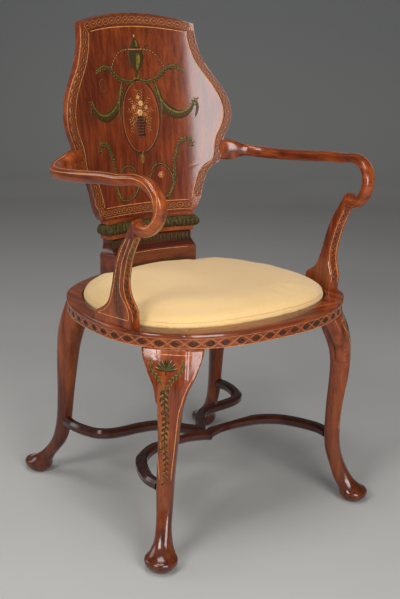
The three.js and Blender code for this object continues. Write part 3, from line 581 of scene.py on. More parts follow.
@dataclass(frozen=True)
class StudioPaper:
    """Rolled matt background paper: no gloss, a little darker up the backdrop as painted shade, and faintly
    clouded.
    """

    name: str
    floor: str = "b2b0ad"
    foot: str = "a3a29f"
    shaded_wall: str = "949494"
    cloud_mm: float = 2000 / 3
    cloud_depth: float = 0.1
    roughness: float = 0.9
    gloss: float = 0.2

    def build(self) -> bpy.types.Material:
        """Make the material.

        Returns:
            The node material.
        """
        blank = Blank(self.name)
        tree, place = blank.tree, blank.place
        height = add_node(tree, "ShaderNodeSeparateXYZ", {"Vector": place}).outputs["Z"]
        clouds = add_node(tree, "ShaderNodeTexNoise", {"Vector": place, "Scale": 1 / (self.cloud_mm * MM),
                          "Detail": 2.0}).outputs["Fac"]
        level = add_node(tree, "ShaderNodeMath", {0: clouds, 1: self.cloud_depth, 2: height},
                         operation="MULTIPLY_ADD").outputs[0]
        # The ramp darkens the paper up the backdrop: painted shade where less light reaches it.
        colour = add_node(tree, "ShaderNodeValToRGB", {"Fac": level},
                          ((0.02, self.floor), (0.12, self.foot), (1.0, self.shaded_wall))).outputs["Color"]
        return blank.finish({"Base Color": colour, "Roughness": self.roughness,
                             "Specular IOR Level": self.gloss})


class Palette:
    """Every finish on the chair, made once."""

    finishes = (
        PolishedMahogany("mahogany_upright", Grain.UPRIGHT),
        PolishedMahogany("mahogany_across", Grain.ACROSS),
        PolishedMahogany("mahogany_forward", Grain.FORWARD),
        PolishedMahogany("mahogany_panel", Grain.UPRIGHT, dark="4d1b08", middle="682a0e", light="823b16",
                         figure_mm=11.0),
        PolishedMahogany("mahogany_moulding", Grain.ACROSS, dark="2e1208", middle="44190b", light="572610"),
        PolishedMahogany("mahogany_plinth", Grain.ACROSS, dark="3f180a", middle="5a2510", light="733516"),
        BrushedPaint("green_paint", colour="453b12", worn="1d1507"),
        BrushedPaint(Pigment.GLAZE.finish, colour="542611", worn="6b3216"),
        BrushedPaint(Pigment.UMBER.finish, colour="2c1208", worn="431d0d"),
        BrushedPaint(Pigment.OCHRE.finish, colour="a86a38", worn="7d461f"),
        BrushedPaint(Pigment.STRING.finish, colour="d08f58", worn="a86537"),
        BrushedPaint(Pigment.GREEN.finish, colour="2f280a", worn="3f2409"),
        BrushedPaint(Pigment.LIME.finish, colour="6b601f", worn="463911"),
        BrushedPaint(Pigment.GOLD.finish, colour="9c8040", worn="6e5226"),
        BrushedPaint(Pigment.ROSE.finish, colour="d8a367", worn="b0562f"),
        BrushedPaint(Pigment.CREAM.finish, colour="cfa062", worn="9a6a36"),
        WovenCloth("cotton_cover", thread="e8c487", gap="b8905c", soiled="cda868"),
        WovenCloth("cotton_cord", thread="d9c08c", gap="b89a62", soiled="bfa26a"),
        WovenCloth("linen_canvas", thread="b9a47d", gap="8f7a56", soiled="9c8763"),
        WovenCloth("jute_webbing", thread="a3824f", gap="6f5430", soiled="86693d", thread_mm=2.4),
        BarePart("turned_beech", light="d0a46c", dark="b98a55", streak_mm=6.0),
        BarePart("drawn_steel", light="a9a7a3", dark="85827e", streak_mm=3.0, metallic=1.0, roughness=0.35),
    )

    def __init__(self) -> None:
        """Make every material."""
        self.made = {finish.name: finish.build() for finish in self.finishes}
        LOG.info("made %d finishes", len(self.made))

    def __getitem__(self, name: str) -> bpy.types.Material:
        """The finish of that name."""
        return self.made[name]


def link_mesh(name: str, mesh: bpy.types.Mesh) -> bpy.types.Object:
    """Put a mesh into the scene as an object at the origin.

    Args:
        name: The object's name.
        mesh: The mesh.

    Returns:
        The object.
    """
    piece = bpy.data.objects.new(name, mesh)
    bpy.context.scene.collection.objects.link(piece)
    return piece


def mesh_parts(mesh: bpy.types.Mesh) -> tuple[list[Vector], list[tuple[int, ...]]]:
    """The points and the faces of a mesh."""
    return [vertex.co.copy() for vertex in mesh.vertices], [tuple(face.vertices) for face in mesh.polygons]


def skin_mesh(name: str, skin: Skin) -> bpy.types.Mesh:
    """Make a mesh of a skin of closed shells, with every shell facing out.

    Args:
        name: The mesh's name.
        skin: The points and faces.

    Returns:
        The mesh.
    """
    mesh = bpy.data.meshes.new(name)
    mesh.from_pydata(skin.points, [], skin.faces)
    work = bmesh.new()
    work.from_mesh(mesh)
    bmesh.ops.recalc_face_normals(work, faces=work.faces)
    work.to_mesh(mesh)
    work.free()
    mesh.shade_smooth()
    return mesh


def evaluated_mesh(piece: bpy.types.Object) -> bpy.types.Mesh:
    """The piece's mesh as its modifiers leave it, as a new mesh."""
    graph = bpy.context.evaluated_depsgraph_get()
    return bpy.data.meshes.new_from_object(piece.evaluated_get(graph))


def add_modifier(piece: bpy.types.Object, name: str, kind: str, **settings: object) -> bpy.types.Modifier:
    """Add a modifier and set it up.

    Args:
        piece: The object.
        name: The modifier's name.
        kind: The modifier's type.
        settings: Attributes of the modifier.

    Returns:
        The modifier.
    """
    modifier = piece.modifiers.new(name, kind)
    for key, value in settings.items():
        setattr(modifier, key, value)
    return modifier


def settle(piece: bpy.types.Object) -> None:
    """Turn a piece with live modifiers into a plain mesh.

    Args:
        piece: The object, which keeps no modifier.
    """
    mesh = evaluated_mesh(piece)
    piece.modifiers.clear()
    piece.data = mesh


def round_off(piece: bpy.types.Object, levels: int, fits: int = 2) -> None:
    """Subdivide a piece so that its rounded skin still passes through its own corners.

    Args:
        piece: The object, which becomes a plain finer mesh.
        levels: The number of subdivisions.
        fits: How often the cage is pushed out to make up for the shrinking.
    """
    add_modifier(piece, "rounding", "SUBSURF", levels=levels, render_levels=levels)
    cage = piece.data.vertices
    wanted = [vertex.co.copy() for vertex in cage]
    for _ in range(fits):
        rounded = evaluated_mesh(piece)
        for vertex, place, reached in zip(cage, wanted, rounded.vertices):
            vertex.co += place - reached.co
        bpy.data.meshes.remove(rounded)
    settle(piece)


def set_finish(piece: bpy.types.Object, material: bpy.types.Material) -> None:
    """Give a piece one material for all its faces."""
    piece.data.materials.clear()
    piece.data.materials.append(material)


def join_chair(piece: bpy.types.Object, slot: Slot, *nodes: str) -> None:
    """Let a piece ride with the chair and stand for the frame nodes that it replaces, if any.

    Args:
        piece: The finished object.
        slot: A material slot; not used.
        nodes: The frame nodes' names.
    """
    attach(piece, "root")
    if nodes:
        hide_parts(*nodes)


def merged_copy(node: str, name: str) -> bpy.types.Object:
    """Copy a frame node with its loose triangles merged into one skin of quads where they fit.

    Args:
        node: The frame node's name.
        name: The copy's name.

    Returns:
        The copy, linked and at the origin.
    """
    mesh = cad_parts[node].data.copy()
    mesh.name = name
    if "custom_normal" in mesh.attributes:
        mesh.attributes.remove(mesh.attributes["custom_normal"])
    work = bmesh.new()
    work.from_mesh(mesh)
    same_point_mm, flat_enough, square_enough = 0.01, math.radians(30), math.radians(40)
    bmesh.ops.remove_doubles(work, verts=work.verts, dist=same_point_mm * MM)
    bmesh.ops.recalc_face_normals(work, faces=work.faces)
    bmesh.ops.join_triangles(work, faces=work.faces, angle_face_threshold=flat_enough,
                             angle_shape_threshold=square_enough)
    work.to_mesh(mesh)
    work.free()
    return link_mesh(name, mesh)


@dataclass
class WoodPiece:
    """A wooden piece of the frame, with its facets rounded between its sharp edges."""

    node: str
    finish: str
    slot: Slot = Slot.MAHOGANY
    levels: int = 2
    crease_degrees: float = 34.0
    stands_alone: bool = True

    def build(self, palette: Palette) -> bpy.types.Object:
        """Make the rounded piece and let it stand for its node.

        Args:
            palette: The finishes.

        Returns:
            The finished object.
        """
        piece = merged_copy(self.node, f"{self.node}_polished")
        mesh = piece.data
        work = bmesh.new()
        work.from_mesh(mesh)
        crease = work.edges.layers.float.new("crease_edge")
        limit = math.radians(self.crease_degrees)
        for edge in work.edges:
            sharp = len(edge.link_faces) != 2 or edge.calc_face_angle(math.pi) > limit
            edge[crease] = 1.0 if sharp else 0.0
            edge.smooth = not sharp
        for face in work.faces:
            face.smooth = True
        work.to_mesh(mesh)
        work.free()
        round_off(piece, self.levels)
        set_finish(piece, palette[self.finish])
        if self.stands_alone:
            join_chair(piece, self.slot, self.node)
        LOG.info("%s: %d faces", piece.name, len(piece.data.polygons))
        return piece


@dataclass
class ChairTimber:
    """All the polished timber of the chair."""

    upright: tuple[str, ...] = (
        "leg_front_left", "leg_front_right", "leg_rear_left", "leg_rear_right", "arm_support_left",
        "arm_support_right", "knee_bracket_front_left", "knee_bracket_front_right", "knee_bracket_side_left",
        "knee_bracket_side_right")
    across: tuple[str, ...] = ("seat_rail_front", "seat_rail_back", "back_fillet", "back_fascia")
    forward: tuple[str, ...] = ("seat_rail_left", "seat_rail_right", "arm_left", "arm_right")
    darker: tuple[str, ...] = ("stretcher_front", "stretcher_rear", "back_cavetto")

    def build(self, palette: Palette) -> dict[str, bpy.types.Object]:
        """Round and polish every piece.

        Args:
            palette: The finishes.

        Returns:
            Node name to finished object.
        """
        pieces = {}
        for nodes, finish in ((self.upright, "mahogany_upright"), (self.across, "mahogany_across"),
                              (self.forward, "mahogany_forward"), (self.darker, "mahogany_moulding")):
            for node in nodes:
                alone = "knee" not in node and "leg_front" not in node
                pieces[node] = WoodPiece(node, finish, stands_alone=alone).build(palette)
        pieces["back_panel"] = WoodPiece("back_panel", "mahogany_panel").build(palette)
        pieces["back_plinth"] = WoodPiece("back_plinth", "mahogany_plinth").build(palette)
        torus = WoodPiece("back_torus", "green_paint", Slot.GREEN_PAINT, levels=1)
        pieces[torus.node] = torus.build(palette)
        for word in SIDES:
            CarvedKnee(word).build(pieces)
        return pieces


@dataclass
class CarvedKnee:
    """A front leg and its two ears as one carved skin, without the glue lines between them."""

    word: str
    voxel_mm: float = 1.6
    scraping_passes: int = 5

    def build(self, timber: dict[str, bpy.types.Object]) -> None:
        """Melt the leg and its ears together and let the result stand for the three nodes.

        Args:
            timber: Node name to finished object. The three pieces become one there.
        """
        nodes = [f"{part}_{self.word}" for part in ("leg_front", "knee_bracket_front", "knee_bracket_side")]
        skin = Skin()
        for node in nodes:
            skin.add(*mesh_parts(timber[node].data))
        finish = timber[nodes[0]].data.materials[0]
        for node in nodes:
            bpy.data.objects.remove(timber.pop(node))
        leg = link_mesh(f"{nodes[0]}_carved", skin_mesh(nodes[0], skin))
        add_modifier(leg, "melting", "REMESH", mode="VOXEL", voxel_size=self.voxel_mm * MM)
        add_modifier(leg, "scraping", "SMOOTH", factor=0.5, iterations=self.scraping_passes)
        settle(leg)
        leg.data.shade_smooth()
        set_finish(leg, finish)
        join_chair(leg, Slot.MAHOGANY, *nodes)
        timber[nodes[0]] = leg
        LOG.info("%s: %d faces", leg.name, len(leg.data.polygons))


@dataclass
class HiddenParts:
    """The dowels, screws, webbing and canvas, which keep their frame shapes."""

    finishes: tuple[tuple[str, str], ...] = (("dowel", "turned_beech"), ("screw", "drawn_steel"),
                                             ("webbing", "jute_webbing"), ("canvas", "linen_canvas"))

    def dress(self, palette: Palette) -> None:
        """Give each hidden node its finish.

        Args:
            palette: The finishes.
        """
        for name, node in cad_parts.items():
            for part, finish in self.finishes:
                if part in name:
                    set_finish(node, palette[finish])


@dataclass
class SeatPlan:
    """The egg shaped outline of the seat frame seen from above, around the seat's own centre."""

    half_width: float
    front: float = 219.0
    rear: float = 275.0
    squareness: float = 2.38
    steps: int = 720
    places: list[Vector] = field(init=False)
    lengths: list[float] = field(init=False)

    def __post_init__(self) -> None:
        """Walk the outline once, from the middle of the front towards +X, and keep the lengths."""
        self.places = []
        for i in range(self.steps + 1):
            angle = 2 * math.pi * i / self.steps - math.pi / 2
            x, y = math.cos(angle), math.sin(angle)
            x = math.copysign(abs(x) ** (2 / self.squareness), x) * self.half_width
            y = math.copysign(abs(y) ** (2 / self.squareness), y) * (self.rear if y > 0 else self.front)
            self.places.append(Vector((x, y, 0)))
        self.lengths = [0.0]
        for before, after in zip(self.places, self.places[1:]):
            self.lengths.append(self.lengths[-1] + (after - before).length)

    def at(self, run: float) -> tuple[Vector, Vector]:
        """A place on the outline.

        Args:
            run: The way from the middle of the front, in millimetres, positive towards +X.

        Returns:
            The place and the outward normal.
        """
        run %= self.lengths[-1]
        index = min(bisect.bisect_right(self.lengths, run), self.steps) - 1
        before, after = self.places[index], self.places[index + 1]
        share = (run - self.lengths[index]) / (self.lengths[index + 1] - self.lengths[index])
        along = (self.places[(index + 3) % self.steps] - self.places[index - 2]).normalized()
        return before.lerp(after, share), Vector((along.y, -along.x, 0))


@dataclass
class Ground:
    """A curved surface that takes paint, with a flat plan in millimetres laid over it."""

    pieces: Sequence[bpy.types.Object]
    seat_centre: Vector
    reach_mm: float = field(default=60.0, kw_only=True)
    past_shares: float = field(default=2.2, kw_only=True)
    widest_mm: float = field(default=230.0, kw_only=True)
    scans_per_mm: int = field(default=2, kw_only=True)
    least_width_mm: float = field(default=1.0, kw_only=True)
    tree: BVHTree = field(init=False)

    def __post_init__(self) -> None:
        """Gather the surfaces."""
        skin = Skin()
        for piece in self.pieces:
            skin.add(*mesh_parts(piece.data))
        self.tree = BVHTree.FromPolygons(skin.points, skin.faces)

    def aim(self, right: float, up: float) -> tuple[Vector, Vector]:
        """Say where to look for the surface.

        Args:
            right: The plan's first coordinate.
            up: The plan's second coordinate.

        Returns:
            A place near the surface, in millimetres round the seat's centre, and the way inward.
        """
        raise NotImplementedError

    def touch(self, right: float, up: float) -> tuple[Vector, Vector] | None:
        """Find the surface under a place of the plan.

        Args:
            right: The plan's first coordinate.
            up: The plan's second coordinate.

        Returns:
            The surface's place in metres and its outward normal, or None beside it.
        """
        place, inward = self.aim(right, up)
        start = place * MM + self.seat_centre - inward * self.reach_mm * MM
        hit, normal, _, _ = self.tree.ray_cast(start, inward, self.past_shares * self.reach_mm * MM)
        if hit is None:
            return None
        return hit, normal if normal.dot(inward) < 0 else -normal

    def lay(self, right: float, up: float, height: float) -> Vector:
        """Carry a point of the plan to the surface.

        Args:
            right: The plan's first coordinate.
            up: The plan's second coordinate.
            height: How far over the surface it ends, in millimetres.

        Returns:
            The place in metres.
        """
        found = self.touch(right, up)
        if found is None:
            place, _ = self.aim(right, up)
            hit, normal, _, _ = self.tree.find_nearest(place * MM + self.seat_centre)
            found = hit, normal
        return found[0] + found[1] * height * MM

    def half_width(self, up: float) -> float:
        """Measure how far the face reaches from the plan's middle line, looking inward from outside it.

        Args:
            up: The height on the plan.

        Returns:
            The distance in millimetres.
        """
        for step in range(round(self.widest_mm * self.scans_per_mm), 0, -1):
            if self.touch(step / self.scans_per_mm, up):
                return step / self.scans_per_mm
        return 0.0

    def edge(self, inset: float, heights: Iterable[float]) -> tuple[Plan, ...]:
        """Points that keep a distance inside the face's right edge."""
        return tuple((max(self.half_width(up) - inset, self.least_width_mm), up) for up in heights)


@dataclass
class PanelGround(Ground):
    """The front of the back panel: across and up."""

    behind_seat: float = 215.0

    def aim(self, right: float, up: float) -> tuple[Vector, Vector]:
        """Look backwards from the seat."""
        return Vector((right, self.behind_seat, up)), Vector((0, 1, 0))


@dataclass
class RailGround(Ground):
    """The outside of the seat frame: round from the middle of the front, and up."""

    plan: SeatPlan

    def aim(self, right: float, up: float) -> tuple[Vector, Vector]:
        """Look in from outside."""
        place, out = self.plan.at(right)
        return Vector((place.x, place.y, up)), -out


@dataclass
class CushionGround(Ground):
    """The top of the cushion: round from the middle of the front, and inward from its edge."""

    plan: SeatPlan
    crown_height: float = 470.0

    def aim(self, right: float, up: float) -> tuple[Vector, Vector]:
        """Look down."""
        edge, out = self.plan.at(right)
        return edge - out * up + Vector((0, 0, self.crown_height)), Vector((0, 0, -1))


@dataclass
class LegGround(Ground):
    """The outer face of a front leg: across and up."""

    side: int
    foot: tuple[float, float] = (247.0, -187.0)
    outward: tuple[float, float] = (0.6947, -0.7193)

    def aim(self, right: float, up: float) -> tuple[Vector, Vector]:
        """Look in across the corner of the seat.

        Args:
            right: The way across the face.
            up: The height over the floor.

        Returns:
            A place near the face and the way inward.
        """
        out = Vector((self.side * self.outward[0], self.outward[1], 0))
        across = Vector((0, 0, 1)).cross(out)
        return Vector((self.side * self.foot[0], self.foot[1], up)) + across * right, -out


@dataclass
class SupportGround(Ground):
    """A face of an arm support: along the foot or across the front edge, and up the support."""

    side: int
    front_edge: bool
    foot: tuple[float, float, float] = (256.0, -40.0, 440.0)
    toe_in: float = math.radians(12)
    lean: float = math.radians(4.5)
    before_foot: float = 60.0
    half_board: float = 12.0

    def aim(self, right: float, up: float) -> tuple[Vector, Vector]:
        """Look in from outside, or back at the front edge.

        Args:
            right: The way along the foot, or across the front edge.
            up: The way up the support from its foot.

        Returns:
            A place near the face and the way inward.
        """
        back = Vector((math.sin(self.toe_in), math.cos(self.toe_in), 0))
        out = Vector((math.cos(self.toe_in), -math.sin(self.toe_in), 0))
        rise = Vector((0, 0, math.cos(self.lean))) + out * math.sin(self.lean)
        face = back.cross(rise)
        if self.front_edge:
            place, inward = Vector(self.foot) - back * self.before_foot + face * right + rise * up, back
        else:
            place, inward = Vector(self.foot) + back * right + rise * up + face * self.half_board, -face
        mirror = Vector((self.side, 1, 1))
        return place * mirror, inward * mirror


@dataclass
class ShoeGround(Ground):
    """The front of the mouldings under the back: round the back's curve, and up."""

    radius: float = 370.0
    centre_y: float = -132.0
    before_face: float = 20.0

    def aim(self, right: float, up: float) -> tuple[Vector, Vector]:
        """Look out from the curve's centre."""
        out = Vector((math.sin(right / self.radius), math.cos(right / self.radius), 0))
        return Vector((0, self.centre_y, up)) + out * (self.radius - self.before_face), out


@dataclass
class ArmGround(Ground):
    """The upper outer side of an arm: along it from the back, and across."""

    side: int
    guide: tuple[tuple[float, float, float], ...] = (
        (176, 216, 699), (204, 203, 697), (234, 189, 695), (257, 162, 692), (271, 124, 692), (275, 71, 696),
        (274, 16, 701), (272, -39, 707), (269, -82, 709), (261, -123, 714), (254, -152, 706),
        (248, -169, 685), (246, -170, 660), (247, -156, 638), (250, -137, 627), (255, -118, 629))
    guide_step: float = 4.0
    look: tuple[float, float, float] = (0.75, 0.0, 0.66)
    places: list[Vector] = field(init=False)

    def __post_init__(self) -> None:
        """Smooth the guide."""
        super().__post_init__()
        self.places = smooth_path(self.guide, False, self.guide_step)

    def aim(self, right: float, up: float) -> tuple[Vector, Vector]:
        """Look in from above and outside, square to the arm's run.

        Args:
            right: The way along the arm from the back.
            up: The way across it.

        Returns:
            A place on the arm's middle line, moved across, and the way inward.
        """
        for before, after in zip(self.places, self.places[1:]):
            step = after - before
            if right <= step.length or after is self.places[-1]:
                break
            right -= step.length
        along = step.normalized()
        out = Vector(self.look)
        out = (out - along * out.dot(along)).normalized()
        mirror = Vector((self.side, 1, 1))
        return (before + along * right + out.cross(along) * up) * mirror, -out * mirror


class MotifRow:
    """A geometry node tree that sets one painted motif again and again along a path."""

    def __init__(self) -> None:
        """Build the tree."""
        tree = bpy.data.node_groups.new("motifs_along_a_path", "GeometryNodeTree")
        self.tree = tree
        sockets = {"Path": "Geometry", "Motif": "Object", "Pitch": "Float", "Wobble": "Float",
                   "Taper": "Float", "Seed": "Int", "Finish": "Material"}
        for name, kind in sockets.items():
            tree.interface.new_socket(name=name, in_out="INPUT", socket_type=f"NodeSocket{kind}")
        tree.interface.new_socket(name="Row", in_out="OUTPUT", socket_type="NodeSocketGeometry")
        given = add_node(tree, "NodeGroupInput").outputs
        line = add_node(tree, "GeometryNodeMeshToCurve", {"Mesh": given["Path"]}).outputs["Curve"]
        marks = add_node(tree, "GeometryNodeCurveToPoints", {"Curve": line, "Length": given["Pitch"]},
                         mode="LENGTH").outputs
        turn = add_node(tree, "FunctionNodeAlignRotationToVector", {"Vector": marks["Tangent"]},
                        axis="X", pivot_axis="Z").outputs["Rotation"]
        wobble = given["Wobble"]
        least = add_node(tree, "ShaderNodeMath", {0: 1.0, 1: wobble}, operation="SUBTRACT").outputs[0]
        most = add_node(tree, "ShaderNodeMath", {0: 1.0, 1: wobble}, operation="ADD").outputs[0]
        index = add_node(tree, "GeometryNodeInputIndex").outputs["Index"]
        chance = add_node(tree, "FunctionNodeRandomValue", {"ID": index, "Seed": given["Seed"]},
                          data_type="FLOAT")
        feed(tree, chance, {2: least, 3: most})
        drawn = chance.outputs[1]
        count = add_node(tree, "GeometryNodeAttributeDomainSize", {"Geometry": marks["Points"]},
                         component="POINTCLOUD").outputs["Point Count"]
        share = add_node(tree, "ShaderNodeMath", {0: index, 1: count}, operation="DIVIDE").outputs[0]
        loss = add_node(tree, "ShaderNodeMath", {0: share, 1: given["Taper"]},
                        operation="MULTIPLY").outputs[0]
        kept = add_node(tree, "ShaderNodeMath", {0: 1.0, 1: loss}, operation="SUBTRACT").outputs[0]
        size = add_node(tree, "ShaderNodeMath", {0: kept, 1: drawn}, operation="MULTIPLY").outputs[0]
        scale = add_node(tree, "ShaderNodeCombineXYZ", {"X": size, "Y": size, "Z": 1.0}).outputs[0]
        motif = add_node(tree, "GeometryNodeObjectInfo", {"Object": given["Motif"]}).outputs["Geometry"]
        copies = add_node(tree, "GeometryNodeInstanceOnPoints", {"Points": marks["Points"], "Instance": motif,
                          "Rotation": turn, "Scale": scale}).outputs["Instances"]
        whole = add_node(tree, "GeometryNodeRealizeInstances", {"Geometry": copies}).outputs["Geometry"]
        painted = add_node(tree, "GeometryNodeSetMaterial", {"Geometry": whole, "Material": given["Finish"]})
        add_node(tree, "NodeGroupOutput", {"Row": painted.outputs["Geometry"]})

    def lay_out(self, path: Sequence[Plan], motif: Skin, finish: bpy.types.Material, pitch: float,
                wobble: float, taper: float, seed: int) -> Skin:
        """Run the tree over a flat path.

        Args:
            path: The points of the path on the plan.
            motif: The motif, drawn along +X at the origin.
            finish: The material.
            pitch: The way from one motif to the next.
            wobble: The share by which sizes differ.
            taper: The share of the size that is lost by the path's end.
            seed: The seed of the wobble.

        Returns:
            The copies, still flat on the plan.
        """
        path_step = 3.0
        line = bpy.data.meshes.new("path")
        places = [(*place, 0.0) for place in smooth_path(path, False, path_step)]
        line.from_pydata(places, [(i, i + 1) for i in range(len(places) - 1)], [])
        row = link_mesh("motif_row", line)
        stamp = link_mesh("motif", skin_mesh("motif", motif))
        nodes = add_modifier(row, "motifs", "NODES", node_group=self.tree)
        values = {"Motif": stamp, "Pitch": pitch, "Wobble": wobble, "Taper": taper, "Seed": seed,
                  "Finish": finish}
        for item in self.tree.interface.items_tree:
            if item.name in values:
                nodes[item.identifier] = values[item.name]
        skin = Skin()
        skin.add(*mesh_parts(evaluated_mesh(row)))
        for piece in (row, stamp):
            bpy.data.objects.remove(piece)
        return skin


@dataclass
class Artist:
    """Paints one ground. Each pigment becomes one piece."""

    name: str
    ground: Ground
    palette: Palette
    rows: MotifRow
    skins: dict[Pigment, Skin] = field(default_factory=dict)

    def spread(self, pigment: Pigment, flat: Skin) -> None:
        """Carry a flat skin from the plan to the ground."""
        skin = self.skins.setdefault(pigment, Skin())
        skin.add((self.ground.lay(*point) for point in flat.points), flat.faces)

    def draw(self, pigment: Pigment, strokes: Iterable[Stroke], mirror: bool = True,
             step: float = 2.5) -> None:
        """Paint strokes, and their mirror images if wanted."""
        self.spread(pigment, paint_flat(both_sides(strokes) if mirror else strokes, pigment.height, step))

    def overlay(self, points: Sequence[Plan], *coats: tuple[Pigment, float, Pull]) -> None:
        """Paint one path and its mirror image in several coats, each narrower than the last."""
        for pigment, width, pull in coats:
            self.draw(pigment, [Stroke(tuple(points), width, pull)])

    def repeat(self, pigment: Pigment, path: Sequence[Plan], motif: Sequence[Stroke], pitch: float,
               wobble: float = 0.06, taper: float = 0.0, mirror: bool = True) -> None:
        """Paint a motif again and again along a path.

        Args:
            pigment: The colour.
            path: The points of the path on the plan.
            motif: The strokes of one motif, along +X.
            pitch: The way from one motif to the next.
            wobble: The share by which sizes differ.
            taper: The share of the size that is lost by the path's end.
            mirror: Whether the mirror image is painted too.
        """
        shape = paint_flat(motif, pigment.height)
        seed = len(self.skins) + len(path)
        flat = self.rows.lay_out(path, shape, self.palette[pigment.finish], pitch, wobble, taper, seed)
        self.spread(pigment, flat)
        if mirror:
            self.spread(pigment, Skin([Vector((-p.x, p.y, p.z)) for p in flat.points], flat.faces))

    def finish(self) -> None:
        """Make one piece of each pigment's paint."""
        for pigment, skin in self.skins.items():
            piece = link_mesh(f"{self.name}_{pigment.finish}", skin_mesh(self.name, skin))
            set_finish(piece, self.palette[pigment.finish])
            join_chair(piece, pigment.slot)
        LOG.info("painted %s: %d faces", self.name, sum(len(skin.faces) for skin in self.skins.values()))


def line(*points: Plan, width: float = 1.3) -> Stroke:
    """An even painted line."""
    return Stroke(points, width)


def leaf(*points: Plan, width: float) -> Stroke:
    """A pointed leaf or petal."""
    return Stroke(points, width, Pull.LEAF)


def leaf_pair(length: float, width: float, gap: float, spread: float = 0.6) -> list[Stroke]:
    """Draw two leaves that grow forwards from a stem, one on each side and one after the other.

    Args:
        length: A leaf's length.
        width: A leaf's width.
        gap: The way between them along the stem.
        spread: How far they lean out, as a share of their length.

    Returns:
        The strokes, along +X.
    """
    bend_ahead_share, bend_out_share = 0.55, 0.75
    out, ahead = length * spread, length * math.sqrt(1 - spread**2)
    return [leaf((start, 0), (start + ahead * bend_ahead_share, side * out * bend_out_share),
                 (start + ahead, side * out), width=width)
            for start, side in ((0.0, 1), (gap, -1))]


def petals(centre: Plan, reach: float, size: float, turn: float = 0.0, count: int = 6) -> list[Stroke]:
    """Draw round petals in a circle.

    Args:
        centre: The flower's middle.
        reach: The way from there to a petal's middle.
        size: Half a petal's size.
        turn: How far the circle is turned, as a share of the way between two petals.
        count: The number of petals.

    Returns:
        The strokes.
    """
    x, y = centre
    turns = [2 * math.pi * (k + turn) / count for k in range(count)]
    return [disc((x + reach * math.cos(a), y + reach * math.sin(a)), size, size) for a in turns]


def fan(root: Plan, middle: Plan, tip: Plan, angles: Sequence[float], width: float) -> list[Stroke]:
    """Draw leaves that spread from one root.

    Args:
        root: The place they grow from.
        middle: The reach of a leaf's middle, across when it lies flat and up when it stands.
        tip: The reach of its tip, the same way.
        angles: Each leaf's lean, from upright.
        width: A leaf's width.

    Returns:
        The strokes.
    """
    leaves = []
    for angle in angles:
        right, ahead = math.sin(angle), math.cos(angle)
        reached = [(root[0] + across * right, root[1] + up * ahead) for across, up in (middle, tip)]
        leaves.append(leaf(root, *reached, width=width))
    return leaves


